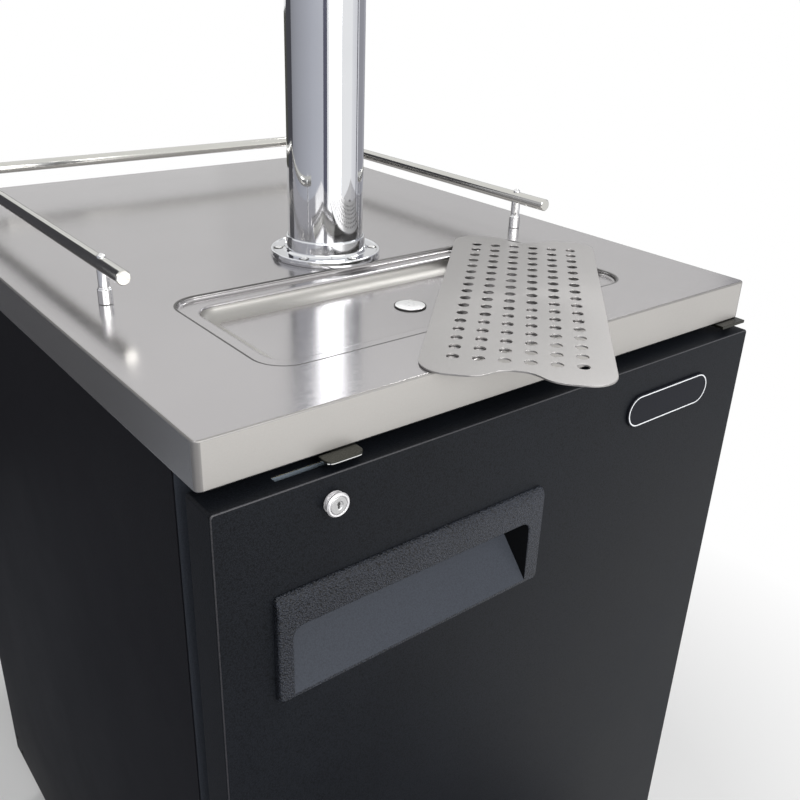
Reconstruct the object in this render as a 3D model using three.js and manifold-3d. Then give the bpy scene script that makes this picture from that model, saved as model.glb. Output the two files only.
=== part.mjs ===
// Kegerator: a keg cooler cabinet with a draught tower, a drip recess and a loose drip grid.
// Millimetres. X runs to the right, Y from the front to the back, Z up, with the floor at zero.
import * as THREE from 'three';
import { mergeVertices } from 'three/addons/utils/BufferGeometryUtils.js';
import Module from 'manifold-3d';

const wasm = await Module();
wasm.setup();

// General fits
const gap = 0.3;
const overrun = 5;
const weldDistance = 0.0001;

// Counter top
const counterWidth = 600;
const counterDepth = 758;
const counterHeight = 995;
const fasciaHeight = 38;
const counterGauge = 1.5;
const counterEdgeRadius = 2.5;
const counterCornerRadius = 4;
const hemFront = 40;
const hemSide = 20;

// Drip recess and drain
const recessWidth = 404;
const recessDepth = 179;
const recessFrontInset = 68.5;
const recessCornerRadius = 27;
const ledgeDrop = 4;
const ledgeRadius = 2;
const basinWidth = 374;
const basinDepth = 144;
const basinDrop = 16;
const basinCornerRadius = 22;
const basinFloorRadius = 9;
const drainFlangeRadius = 15;
const drainFlangeThickness = 2;
const drainTailRadius = 8;
const drainTailWall = 1.5;
const drainTailReach = 12;
const drainStrainerDrop = 4;
const drainStrainerThickness = 1.5;
const drainStrainerHoleRadius = 1.6;
const drainStrainerHoleCircle = 3.8;
const drainStrainerHoleCount = 5;
const drainNutRadius = 17;
const drainNutHeight = 8;
const drainNutClearance = 5;

// Drip grid
const gridLength = 389;
const gridWidth = 150;
const gridGauge = 1.5;
const gridCornerRadius = 26;
const gridHoleRadius = 5;
const gridHolePitch = 20;
const gridHoleMargin = 25;
const gridNotchMouth = 44;
const gridNotchFloor = 18;
const gridNotchDepth = 16.5;
const gridCentreX = 74;
const gridCentreY = 88;
const gridAngleDegrees = 44.1;
const gridHoleSides = 6;

// Guard rail
const railRadius = 6.5;
const railLift = 35;
const railInset = 54;
const railFrontY = 226;
const railBendRadius = 45;
const railPostRadius = 5;
const railPostFootRadius = 6.5;
const railPostFootHeight = 14;
const railPostSetback = 46;
const railScrewRadius = 2.5;
const railScrewHeadRadius = 4;
const railScrewHeadHeight = 3;
const railScrewHeadTaperShare = 0.8;

// Draught tower
const towerY = 300;
const towerRadius = 38.1;
const towerWall = 2;
const towerHeight = 375;
const towerGasketThickness = 1;
const towerGasketOverlap = 6;
const towerFlangeRadius = 56.5;
const towerFlangeThickness = 4.9;
const towerLipThickness = 1.6;
const towerLipWidth = 4;
const towerCollarWall = 2;
const towerCollarHeight = 18.9;
const towerScrewCircle = 48;
const towerScrewHoleRadius = 2.6;
const capThickness = 4;
const capDome = 3;
const capSkirt = 10;
const capSkirtWall = 2;
const capShoulderShare = 0.7;
const lineHoleRadius = 29;
const insulationWall = 5;
const insulationBelowShank = 34;
const insulationClear = 1;

// Shank and faucet
const shankLift = 330;
const shankRadius = 11;
const shankBoreRadius = 4.8;
const shankCollarRadius = 21;
const shankCollarThickness = 5;
const shankCollarWrap = 5;
const shankReach = 30;
const shankTail = 8;
const couplingNutRadius = 19;
const couplingNutLength = 15;
const couplingNutSetback = 4;
const barrelRadius = 12.5;
const barrelLength = 50;
const barrelNoseRadius = 8;
const leverSetback = 30;
const bonnetRadius = 15;
const bonnetHeight = 22;
const ballRadius = 6;
const ballLift = 8;
const ballClearance = 0.5;
const stemRadius = 4;
const stemRise = 36;
const leverCollarRadius = 9;
const leverCollarLift = 24;
const leverCollarThickness = 4;
const bonnetMouthRadius = 12;
const spoutRadius = 8;
const spoutMouthRadius = 5.5;
const spoutMouthDepth = 22;
const spoutDrop = 75;
const spoutReach = 66;
const handleFerruleRadius = 9;
const handleFerruleHeight = 8;
const handleWaistRadius = 8;
const handleTopRadius = 14;
const handleHeight = 78;
const handleSocketDepth = 9;
const handleCrownHeight = 5;
const handleCrownShare = 0.8;
const lineTubeRadius = 4.5;
const lineTubeBend = 12;
const lineTubeBelowTop = 80;

// Cabinet body
const panelGauge = 1;
const panelFrontY = 39.5;
const panelBackInset = 8;
const panelSideInset = 1;
const bodyBottom = 105;
const foamBottom = 200;
const foamBackInset = 6;
const linerGauge = 1.2;
const sideWall = 50;
const interiorFloor = 240;
const roofWall = 32;
const backWall = 44;
const humpDepth = 230;
const humpTop = 430;
const humpWall = 40;
const bayWall = 30;
const frameThickness = 3;
const openingTopLap = 10;
const trayGauge = 2;
const trayFlangeHeight = 25;
const backSheetGauge = 1.2;
const grilleLap = 2;
const grilleGauge = 1.7;
const rearSlotMargin = 62.7;
const slotHeight = 7;
const slotPitch = 18;
const slotColumnGap = 30;
const rearGrilleMargin = 40;
const kickFrontY = 20;
const kickGauge = 2;
const kickTop = 196;
const kickClearance = 3;
const kickSlotMargin = 44;
const kickMargin = 12;

// Door
const doorFrontProud = 14;
const doorThickness = 34.5;
const doorTopDrop = 47;
const doorBottom = 205;
const doorSideInset = 1;
const doorGauge = 1;
const doorLinerThickness = 2.5;
const gasketInset = 15;
const gasketWidth = 16;

// Door handle
const handleLeft = 45;
const handleRight = 314;
const handleTopDrop = 130.5;
const handleBottomDrop = 228;
const bezelProud = 6;
const bezelLap = 3.5;
const bezelCurve = 12;
const bezelChamfer = 5;
const bezelCurveShares = [[0, 0], [0.4, 0.1], [0.75, 0.4], [1, 1]];
const pocketLeft = 57.5;
const pocketRight = 298;
const pocketTopDrop = 160;
const pocketBottomDrop = 221;
const pocketDepth = 33;
const pocketRoof = 19;
const lipThickness = 8;
const pocketWall = 2.5;
const pocketSlopeDegrees = 23.9;

// Lock
const lockLeft = 96;
const lockDrop = 69.8;
const lockHeadRadius = 9.25;
const lockHeadProud = 7;
const lockHeadBevel = 0.8;
const lockBodyRadius = 8;
const lockPlugRadius = 7;
const lockBodyReach = 15;
const keySlotWidth = 1.6;
const keySlotHeight = 7;
const keySlotDepth = 4;
const camReach = 30;
const camWidth = 10;
const camThickness = 3;
const camTailRadius = 3;
const camTailProud = 1.5;
const camSideClearance = 2;
const camSlotLength = 46;
const strikeLeft = 91;
const strikeRight = 128;
const strikeFrontY = -13;
const strikeBackY = 38;
const strikeThickness = 3;

// Badge
const badgeRightInset = 61;
const badgeLength = 118;
const badgeHeight = 30.5;
const badgeDrop = 92.7;
const badgeThickness = 2;

// Door hinge
const hingeAxisInset = 12;
const hingeAxisY = 3;
const hingePinRadius = 4;
const hingePinLength = 20;
const hingePlateThickness = 3;
const hingePlateHalfWidth = 12;
const hingePlateFront = 12;
const hingePlateInner = 25;
const hingeTopPlateBackY = 36;
const hingeFlangeHeight = 13;
const hingeRunningGap = 0.5;

// Evaporator unit and thermostat
const evaporatorSideInset = 60;
const evaporatorDepth = 110;
const evaporatorTopDrop = 45;
const evaporatorHeight = 280;
const evaporatorWall = 2;
const evaporatorFanRadius = 72;
const evaporatorFanLift = 150;
const evaporatorMotorInset = 40;
const knobSideInset = 40;
const knobLift = 40;
const knobRadius = 16;
const knobThickness = 13;
const knobStemRadius = 3;
const knobStemLength = 9;
const knobRidgeWidth = 4;
const knobRidgeHeight = 3;
const knobFaceShare = 0.8;

// Fans
const fanHubRadius = 20;
const fanHubLength = 18;
const fanShaftRadius = 3;
const fanShaftLength = 24;
const fanBladeThickness = 1.6;
const fanBladeWidth = 34;
const fanBladePitchDegrees = 28;
const fanTipClearance = 5;
const fanBladeCount = 5;
const motorRadius = 24;
const motorLength = 34;
const motorArmHeight = 12;
const motorArmThickness = 4;

// Condensing unit
const compressorSideInset = 160;
const compressorBackInset = 124;
const compressorRadius = 68;
const compressorHeight = 160;
const compressorWaist = 5;
const compressorFootLength = 170;
const compressorFootWidth = 100;
const compressorFootThickness = 3;
const compressorFootLift = 6;
const compressorLegRadius = 10;
const compressorBaseShare = 0.7;
const compressorBaseRise = 24;
const compressorShoulderDrop = 32;
const compressorCrownShare = 0.6;
const compressorCrownDrop = 6;
const condenserSideInset = 55;
const condenserWidth = 220;
const condenserBayGap = 15;
const condenserThickness = 45;
const condenserHeight = 215;
const condenserEndPlate = 2;
const condenserEndLip = 6;
const shroudStandoff = 4;
const shroudWall = 2;
const condenserFanRadius = 92;

// Power inlet
const inletSideInset = 95;
const inletZ = 150;
const inletWidth = 27;
const inletHeight = 20;
const inletDepth = 20;
const inletWall = 2.5;
const inletFlangeLap = 6;
const inletFlangeThickness = 2;
const inletPinWidth = 2;
const inletPinHeight = 4;
const inletPinLength = 12;
const inletPinSpacing = 6.5;

// Casters
const casterHeight = 102;
const casterSideInset = 55;
const casterFrontY = 85;
const casterBackInset = 73;
const casterTrail = 22;
const casterPlateWidth = 90;
const casterPlateDepth = 70;
const kingpinRadius = 6;
const kingpinLength = 6;
const forkTopRadius = 24;
const forkTopThickness = 5;
const forkLegThickness = 3;
const forkLegWidth = 26;
const wheelRadius = 38;
const wheelWidth = 24;
const wheelSideClearance = 2;
const wheelBoreClearance = 0.4;
const treadCrown = 2;
const axleRadius = 5;
const axleHeadRadius = 8;
const axleHeadThickness = 3;
const wheelSides = 20;
const pedalPinRadius = 3;
const pedalPinOut = 28;
const pedalPinUp = 34;
const pedalLength = 46;
const pedalThickness = 4;
const pedalWidth = 20;
const pedalTread = 12;
const pedalNose = 3;

// Places that several pieces share
const counterBottom = counterHeight - fasciaHeight;
const counterHalf = counterWidth / 2;
const counterUnder = counterHeight - counterGauge;
const recessY = recessFrontInset + recessDepth / 2;
const basinUnder = counterHeight - basinDrop - counterGauge;
const bodyTop = counterBottom - gap;
const panelOuterX = counterHalf - panelSideInset;
const bodyHalf = panelOuterX - panelGauge - gap;
const panelBackY = counterDepth - panelBackInset;
const foamBackY = panelBackY - foamBackInset;
const interiorHalf = counterHalf - sideWall;
const interiorCeiling = counterBottom - roofWall;
const interiorBackY = foamBackY - backWall;
const humpFrontY = interiorBackY - humpDepth;
const openingTop = interiorCeiling - openingTopLap;
const towerBase = counterHeight + towerGasketThickness + 2 * gap;
const columnBase = towerBase + towerLipThickness + gap;
const columnTop = counterHeight + towerHeight;
const shankZ = counterHeight + shankLift;
const shankFace = towerY - towerRadius - shankReach;
const pivotY = shankFace - leverSetback;
const pivotZ = shankZ + ballLift;
const doorFrontY = -doorFrontProud;
const doorBackY = doorFrontY + doorThickness;
const doorTop = counterHeight - doorTopDrop;
const doorHalf = counterHalf - doorSideInset;
const hingeX = doorHalf - hingeAxisInset;
const lockX = lockLeft - counterHalf;
const lockZ = counterHeight - lockDrop;
const lockBodyBackY = doorFrontY + lockBodyReach;
const camFrontY = lockBodyBackY + gap;
const trayTop = bodyBottom + trayGauge;
const bayTop = humpTop - humpWall;
const casterBackY = counterDepth - casterBackInset;
const inletX = counterHalf - inletSideInset;

const steel = { color: 0xb9b7b2, roughness: 0.34, metalness: 1 };
const polished = { color: 0xd8d9dc, roughness: 0.12, metalness: 1 };
const blackPaint = { color: 0x26272b, roughness: 0.55, metalness: 0.2 };
const blackPlastic = { color: 0x2c2e33, roughness: 0.6, metalness: 0 };
const rubber = { color: 0x18181a, roughness: 0.85, metalness: 0 };
const whiteLiner = { color: 0xdfe2e2, roughness: 0.35, metalness: 0 };
const foam = { color: 0xe7d9a8, roughness: 0.95, metalness: 0 };
const zinc = { color: 0xa7abb0, roughness: 0.4, metalness: 0.9 };
const greyTread = { color: 0x5a5c60, roughness: 0.8, metalness: 0 };

// Turn a closed geometry into a solid, with its faces pointing out.
function toSolid(geometry) {
  const bare = geometry.clone();
  bare.deleteAttribute('normal');
  bare.deleteAttribute('uv');
  const merged = mergeVertices(bare, weldDistance);
  const places = merged.attributes.position.array;
  const corners = merged.index.array;
  const kept = [];
  let volume = 0;
  const [a, b, c] = [new THREE.Vector3(), new THREE.Vector3(), new THREE.Vector3()];
  for (let i = 0; i < corners.length; i += 3) {
    const [p, q, r] = [corners[i], corners[i + 1], corners[i + 2]];
    if (p === q || q === r || r === p) continue;
    kept.push([p, q, r]);
    a.fromArray(places, 3 * p);
    b.fromArray(places, 3 * q);
    c.fromArray(places, 3 * r);
    volume += a.dot(b.cross(c));
  }
  const triangles = kept.map(([p, q, r]) => (volume < 0 ? [p, r, q] : [p, q, r])).flat();
  return new wasm.Manifold(new wasm.Mesh({
    numProp: 3,
    vertProperties: Float32Array.from(places),
    triVerts: Uint32Array.from(triangles),
  }));
}

function toGeometry(solid) {
  const found = solid.getMesh();
  const geometry = new THREE.BufferGeometry();
  geometry.setAttribute('position', new THREE.BufferAttribute(found.vertProperties, 3));
  geometry.setIndex(new THREE.BufferAttribute(found.triVerts, 1));
  geometry.computeVertexNormals();
  return geometry;
}

// Solid box between two corners.
function block(x0, x1, y0, y1, z0, z1) {
  const geometry = new THREE.BoxGeometry(x1 - x0, y1 - y0, z1 - z0);
  return toSolid(geometry.translate((x0 + x1) / 2, (y0 + y1) / 2, (z0 + z1) / 2));
}

// Solid of revolution about Z, from [radius, height] points.
function turned(profile, sides = 16) {
  const points = profile.map(([radius, height]) => new THREE.Vector2(radius, height));
  return toSolid(new THREE.LatheGeometry(points, sides).rotateX(Math.PI / 2));
}

function ring(innerRadius, outerRadius, z0, z1, sides = 16) {
  return turned([[innerRadius, z0], [outerRadius, z0], [outerRadius, z1], [innerRadius, z1],
    [innerRadius, z0]], sides);
}

function disc(radius, z0, z1, sides = 16) {
  return turned([[0, z0], [radius, z0], [radius, z1], [0, z1]], sides);
}

// A solid made about Z laid down, so that its height runs along Y or X.
const alongY = (solid) => solid.rotate([-90, 0, 0]);
const alongX = (solid) => solid.rotate([0, 90, 0]);

function roundedRectangle(width, depth, radius) {
  const shape = new THREE.Shape();
  const [x, y] = [width / 2, depth / 2];
  shape.absarc(x - radius, radius - y, radius, -Math.PI / 2, 0, false);
  shape.absarc(x - radius, y - radius, radius, 0, Math.PI / 2, false);
  shape.absarc(radius - x, y - radius, radius, Math.PI / 2, Math.PI, false);
  shape.absarc(radius - x, radius - y, radius, Math.PI, 1.5 * Math.PI, false);
  shape.closePath();
  return shape;
}

// Flat shape raised from z0 to z1, with its two ends rounded inwards where a rounding is given.
function raised(shape, z0, z1, rounding = 0, arcSteps = 2) {
  const geometry = new THREE.ExtrudeGeometry(shape, {
    depth: z1 - z0 - 2 * rounding,
    curveSegments: arcSteps,
    bevelEnabled: rounding > 0,
    bevelThickness: rounding,
    bevelSize: rounding,
    bevelOffset: -rounding,
    bevelSegments: 2,
  });
  return toSolid(geometry.translate(0, 0, z0 + rounding));
}

// Outline in Y and Z, carried along X from x0 to x1.
function profileAlongX(outline, x0, x1) {
  const shape = new THREE.Shape(outline.map(([y, z]) => new THREE.Vector2(y, z)));
  const geometry = new THREE.ExtrudeGeometry(shape, { depth: x1 - x0, bevelEnabled: false });
  const turn = new THREE.Matrix4().makeBasis(
    new THREE.Vector3(0, 1, 0), new THREE.Vector3(0, 0, 1), new THREE.Vector3(1, 0, 0));
  return toSolid(geometry.applyMatrix4(turn).translate(x0, 0, 0));
}

// Path through given points, whose samples fall on the points themselves.
class PointPath extends THREE.Curve {
  constructor(points) {
    super();
    this.points = points;
  }

  getPointAt(share) {
    return this.points[Math.round(share * (this.points.length - 1))].clone();
  }

  getTangentAt(share) {
    const last = this.points.length - 1;
    const index = Math.round(share * last);
    const heading = (from, to) => this.points[to].clone().sub(this.points[from]).normalize();
    const before = heading(Math.max(index - 1, 0), Math.max(index, 1));
    const after = heading(Math.min(index, last - 1), Math.min(index + 1, last));
    return before.add(after).normalize();
  }
}

function rod(points, radius, sides = 12) {
  const section = new THREE.Shape().absarc(0, 0, radius, 0, 2 * Math.PI, false);
  const geometry = new THREE.ExtrudeGeometry(section, {
    steps: points.length - 1,
    curveSegments: sides / 2,
    extrudePath: new PointPath(points),
  });
  return toSolid(geometry);
}

// Points of a quarter bend round a centre, from one unit direction to another.
function bend(centre, radius, from, to, steps = 5) {
  return Array.from({ length: steps + 1 }, (unused, index) => {
    const angle = (index / steps) * Math.PI / 2;
    return centre.clone()
      .addScaledVector(from, radius * Math.cos(angle))
      .addScaledVector(to, radius * Math.sin(angle));
  });
}

const vector = (x, y, z) => new THREE.Vector3(x, y, z);
const kegerator = new THREE.Group();

function addPiece(name, solid, finish, holder = kegerator) {
  const mesh = new THREE.Mesh(toGeometry(solid), new THREE.MeshStandardMaterial(finish));
  mesh.name = name;
  holder.add(mesh);
  return mesh;
}

// The drip recess as one body: grown by some amount, it is the pan's outer skin or a clearance.
function recessBody(grown, top) {
  const ledge = raised(
    roundedRectangle(recessWidth + 2 * grown, recessDepth + 2 * grown, recessCornerRadius + grown),
    counterHeight - ledgeDrop - grown, top, ledgeRadius);
  const basin = raised(
    roundedRectangle(basinWidth + 2 * grown, basinDepth + 2 * grown, basinCornerRadius + grown),
    counterHeight - basinDrop - grown, top, basinFloorRadius);
  return ledge.add(basin).translate([0, recessY, 0]);
}

function addCounter() {
  const slab = raised(roundedRectangle(counterWidth, counterDepth, counterCornerRadius),
    counterBottom - overrun, counterHeight, counterEdgeRadius, 3)
    .translate([0, counterDepth / 2, 0])
    .subtract(block(-counterWidth, counterWidth, -counterDepth, 2 * counterDepth,
      counterBottom - 2 * overrun, counterBottom));
  const inside = block(counterGauge - counterHalf, counterHalf - counterGauge,
    counterGauge, counterDepth - counterGauge, counterBottom + counterGauge, counterUnder);
  const window = block(hemSide - counterHalf, counterHalf - hemSide, hemFront,
    counterDepth - hemSide, counterBottom - overrun, counterBottom + counterGauge + overrun);
  const pan = recessBody(counterGauge, counterHeight + 2 * basinFloorRadius)
    .intersect(block(-counterHalf, counterHalf, 0, counterDepth, counterBottom, counterUnder + gap));
  const drainHole = disc(drainTailRadius + gap, basinUnder - overrun, counterHeight)
    .translate([0, recessY, 0]);
  const lineHole = disc(lineHoleRadius, counterBottom, counterHeight + overrun)
    .translate([0, towerY, 0]);
  addPiece('counter_top', slab.subtract(inside).subtract(window).add(pan)
    .subtract(recessBody(0, counterHeight + 2 * basinFloorRadius))
    .subtract(drainHole).subtract(lineHole), steel);

  const nutPocket = disc(drainNutRadius + drainNutClearance, counterBottom, basinUnder)
    .translate([0, recessY, 0]);
  addPiece('counter_core', block(
    counterGauge + gap - counterHalf, counterHalf - counterGauge - gap,
    counterGauge + gap, counterDepth - counterGauge - gap,
    counterBottom + counterGauge + gap, counterUnder - gap)
    .subtract(recessBody(counterGauge + gap, counterHeight + 2 * basinFloorRadius))
    .subtract(nutPocket).subtract(lineHole), foam);
}

function addDrain() {
  const floor = counterHeight - basinDrop + gap;
  const tailEnd = interiorCeiling - drainTailReach;
  const inner = drainTailRadius - drainTailWall;
  const body = turned([[inner, tailEnd], [drainTailRadius, tailEnd], [drainTailRadius, floor],
    [drainFlangeRadius, floor], [drainFlangeRadius, floor + drainFlangeThickness / 2],
    [inner + drainTailWall, floor + drainFlangeThickness], [inner, floor], [inner, tailEnd]]);
  const strainerTop = floor - drainStrainerDrop;
  let strainer = disc(inner + drainTailWall / 2, strainerTop - drainStrainerThickness, strainerTop);
  for (let turn = 0; turn < drainStrainerHoleCount; turn += 1) {
    const angle = (turn / drainStrainerHoleCount) * 2 * Math.PI;
    strainer = strainer.subtract(disc(drainStrainerHoleRadius, strainerTop - overrun,
      strainerTop + overrun, 6).translate([
      drainStrainerHoleCircle * Math.cos(angle), drainStrainerHoleCircle * Math.sin(angle), 0]));
  }
  addPiece('drain_fitting', body.add(strainer).translate([0, recessY, 0]), polished);
  const nutTop = basinUnder - gap;
  addPiece('drain_nut', disc(drainNutRadius, nutTop - drainNutHeight, nutTop, 6)
    .subtract(disc(drainTailRadius + gap, nutTop - 2 * drainNutHeight, nutTop + overrun))
    .translate([0, recessY, 0]), zinc);
}

function addDripGrid() {
  const [x, y] = [gridLength / 2, gridWidth / 2];
  const [mouth, floor] = [gridNotchMouth / 2, gridNotchFloor / 2];
  const r = gridCornerRadius;
  const plate = new THREE.Shape();
  plate.absarc(x - r, r - y, r, -Math.PI / 2, 0, false);
  plate.lineTo(x, -mouth);
  plate.lineTo(x - gridNotchDepth, -floor);
  plate.lineTo(x - gridNotchDepth, floor);
  plate.lineTo(x, mouth);
  plate.absarc(x - r, y - r, r, 0, Math.PI / 2, false);
  plate.absarc(r - x, y - r, r, Math.PI / 2, Math.PI, false);
  plate.lineTo(-x, mouth);
  plate.lineTo(gridNotchDepth - x, floor);
  plate.lineTo(gridNotchDepth - x, -floor);
  plate.lineTo(-x, -mouth);
  plate.absarc(r - x, r - y, r, Math.PI, 1.5 * Math.PI, false);
  plate.closePath();
  const rows = Math.floor((gridWidth - 2 * gridHoleMargin) / gridHolePitch) + 1;
  const columns = Math.floor((gridLength - 2 * gridHoleMargin) / gridHolePitch) + 1;
  for (let column = 0; column < columns; column += 1) {
    for (let row = 0; row < rows; row += 1) {
      const hole = new THREE.Path();
      hole.absarc((column - (columns - 1) / 2) * gridHolePitch,
        (row - (rows - 1) / 2) * gridHolePitch, gridHoleRadius, 0, 2 * Math.PI, true);
      plate.holes.push(new THREE.Path(hole.getPoints(gridHoleSides / 2)));
    }
  }
  const geometry = new THREE.ExtrudeGeometry(plate, {
    depth: gridGauge, curveSegments: 3, bevelEnabled: false });
  const grid = addPiece('drip_grid', toSolid(geometry), steel);
  grid.position.set(gridCentreX, gridCentreY, counterHeight + gap);
  grid.rotation.z = THREE.MathUtils.degToRad(gridAngleDegrees);
}

function addGuardRail() {
  const x = counterHalf - railInset;
  const backY = counterDepth - railInset;
  const z = counterHeight + railLift;
  const [left, right, back] = [vector(-1, 0, 0), vector(1, 0, 0), vector(0, 1, 0)];
  const turnY = backY - railBendRadius;
  const path = [
    vector(-x, railFrontY, z),
    ...bend(vector(railBendRadius - x, turnY, z), railBendRadius, left, back),
    ...bend(vector(x - railBendRadius, turnY, z), railBendRadius, back, right),
    vector(x, railFrontY, z),
  ];
  const posts = [railFrontY + railPostSetback, turnY - railPostSetback]
    .flatMap((y) => [[-x, y], [x, y]]);
  let bar = rod(path, railRadius, 12);
  for (const [postX, postY] of posts) {
    bar = bar.subtract(disc(railScrewRadius + gap, z - 2 * railRadius, z + 2 * railRadius, 12)
      .translate([postX, postY, 0]));
  }
  addPiece('guard_rail', bar, steel);
  const barAlongY = alongY(disc(railRadius + gap, -2 * railRadius, 2 * railRadius, 16))
    .translate([0, 0, z]);
  posts.forEach(([postX, postY], index) => {
    const base = counterHeight + gap;
    const sleeve = disc(railPostRadius, base, z, 16)
      .add(disc(railPostFootRadius, base, base + railPostFootHeight, 16))
      .subtract(barAlongY);
    const headTop = z + railRadius + railScrewHeadHeight;
    const headBase = z + railRadius + gap;
    const screw = turned([[0, base], [railScrewRadius, base], [railScrewRadius, headBase],
      [railScrewHeadRadius, headBase],
      [railScrewHeadTaperShare * railScrewHeadRadius, headTop], [0, headTop]], 12);
    addPiece(`rail_post_${index + 1}`, sleeve.add(screw).translate([postX, postY, 0]), steel);
  });
}

function addTower() {
  const place = [0, towerY, 0];
  const innerRadius = towerRadius - towerWall;
  addPiece('tower_gasket', ring(lineHoleRadius, towerFlangeRadius - towerGasketOverlap,
    counterHeight + gap, counterHeight + gap + towerGasketThickness, 28).translate(place), rubber);

  const collarInner = towerRadius + gap;
  const collarOuter = collarInner + towerCollarWall;
  const plateTop = towerBase + towerFlangeThickness;
  const lipInner = towerRadius - towerLipWidth;
  let flange = turned([[lipInner, towerBase], [towerFlangeRadius, towerBase],
    [towerFlangeRadius, plateTop], [collarOuter, plateTop],
    [collarOuter, towerBase + towerCollarHeight], [collarInner, towerBase + towerCollarHeight],
    [collarInner, towerBase + towerLipThickness], [lipInner, towerBase + towerLipThickness],
    [lipInner, towerBase]], 28);
  for (const turn of [1, 3, 5, 7]) {
    const angle = turn * Math.PI / 4;
    flange = flange.subtract(disc(towerScrewHoleRadius, towerBase - overrun, plateTop + overrun, 8)
      .translate([towerScrewCircle * Math.cos(angle), towerScrewCircle * Math.sin(angle), 0]));
  }
  addPiece('tower_flange', flange.translate(place), polished);

  const shankHole = alongY(disc(shankRadius + gap, -2 * towerRadius, 0, 24)).translate([0, 0, shankZ]);
  addPiece('tower_column', ring(innerRadius, towerRadius, columnBase, columnTop, 32)
    .subtract(shankHole).translate(place), polished);

  const skirtOuter = innerRadius - gap;
  const seat = columnTop + gap;
  addPiece('tower_cap', turned([[0, seat], [skirtOuter - capSkirtWall, seat],
    [skirtOuter - capSkirtWall, seat - capSkirt], [skirtOuter, seat - capSkirt], [skirtOuter, seat],
    [towerRadius, seat], [towerRadius, seat + capThickness],
    [capShoulderShare * towerRadius, seat + capThickness + capShoulderShare * capDome],
    [0, seat + capThickness + capDome]], 28)
    .translate(place), polished);

  const sleeveOuter = innerRadius - insulationClear;
  addPiece('tower_insulation', ring(sleeveOuter - insulationWall, sleeveOuter, columnBase,
    shankZ - insulationBelowShank, 24).translate(place), foam);
}

// Shank, coupling nut and faucet lie along Y, so each is turned about Z and laid down.
function addFaucet() {
  const place = [0, 0, shankZ];
  const collarBack = towerY - towerRadius + shankCollarWrap;
  const collarFront = towerY - towerRadius - shankCollarThickness;
  const tailEnd = towerY + shankTail;
  const column = disc(towerRadius + gap, shankZ - 2 * towerRadius, shankZ + 2 * towerRadius, 32)
    .translate([0, towerY, 0]);
  const collar = alongY(disc(shankCollarRadius, collarFront, collarBack)).translate(place)
    .subtract(column);
  const stem = alongY(disc(shankRadius, shankFace, tailEnd, 24)).translate(place);
  const bore = alongY(disc(shankBoreRadius, shankFace - overrun, tailEnd + overrun, 16))
    .translate(place);
  addPiece('shank', collar.add(stem).subtract(bore), polished);

  const nutBack = shankFace + couplingNutSetback + couplingNutLength;
  const faucetBack = shankFace - gap;
  addPiece('coupling_nut', alongY(ring(shankRadius + gap, couplingNutRadius, nutBack - couplingNutLength,
    nutBack, 20)).translate(place), polished);

  const nose = faucetBack - barrelLength;
  const barrel = alongY(turned([[0, nose], [barrelNoseRadius, nose],
    [barrelRadius, nose + barrelNoseRadius], [barrelRadius, faucetBack], [0, faucetBack]]))
    .translate(place);
  const bonnet = disc(bonnetRadius, shankZ - bonnetHeight / 2, shankZ + bonnetHeight)
    .translate([0, pivotY, 0]);
  const spoutTop = shankFace - spoutReach + 2 * spoutRadius;
  const spout = rod([
    vector(0, pivotY, shankZ),
    vector(0, spoutTop, shankZ - spoutRadius / 2),
    vector(0, shankFace - spoutReach + spoutRadius / 2, shankZ - 2 * spoutRadius),
    vector(0, shankFace - spoutReach, shankZ - 4 * spoutRadius),
    vector(0, shankFace - spoutReach, shankZ - spoutDrop),
  ], spoutRadius, 12);
  const mouth = disc(spoutMouthRadius, shankZ - spoutDrop - overrun,
    shankZ - spoutDrop + spoutMouthDepth, 12).translate([0, shankFace - spoutReach, 0]);
  const socket = toSolid(new THREE.SphereGeometry(ballRadius + ballClearance, 12, 8)
    .translate(0, pivotY, pivotZ));
  const throat = turned([[0, pivotZ], [stemRadius + ballClearance, pivotZ],
    [bonnetMouthRadius, shankZ + bonnetHeight + gap], [0, shankZ + bonnetHeight + gap]])
    .translate([0, pivotY, 0]);
  addPiece('faucet_body', barrel.add(bonnet).add(spout).subtract(mouth).subtract(socket)
    .subtract(throat), polished);

  const collarZ = pivotZ + leverCollarLift;
  const lever = toSolid(new THREE.SphereGeometry(ballRadius, 12, 8).translate(0, pivotY, pivotZ))
    .add(turned([[0, pivotZ], [stemRadius, pivotZ], [stemRadius, collarZ],
      [leverCollarRadius, collarZ], [leverCollarRadius, collarZ + leverCollarThickness],
      [stemRadius, collarZ + leverCollarThickness], [stemRadius, pivotZ + stemRise],
      [0, pivotZ + stemRise]]).translate([0, pivotY, 0]));
  addPiece('faucet_lever', lever, polished);

  const grip = collarZ + leverCollarThickness + gap;
  const gripTop = grip + handleHeight;
  addPiece('tap_handle', turned([[stemRadius + gap, grip], [handleFerruleRadius, grip],
    [handleFerruleRadius, grip + handleFerruleHeight],
    [handleWaistRadius, grip + 2 * handleFerruleHeight],
    [handleTopRadius, gripTop - handleTopRadius],
    [handleCrownShare * handleTopRadius, gripTop - handleCrownHeight],
    [0, gripTop], [0, grip + handleSocketDepth], [stemRadius + gap, grip + handleSocketDepth],
    [stemRadius + gap, grip]])
    .translate([0, pivotY, 0]), blackPlastic);

  const [back, up] = [vector(0, 1, 0), vector(0, 0, 1)];
  const tubeStart = tailEnd + gap;
  addPiece('beer_line_tube', rod([
    vector(0, tubeStart, shankZ),
    ...bend(vector(0, tubeStart + gap, shankZ - lineTubeBend), lineTubeBend, up, back),
    vector(0, tubeStart + gap + lineTubeBend, counterHeight - lineTubeBelowTop),
  ], lineTubeRadius), steel);
}

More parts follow.
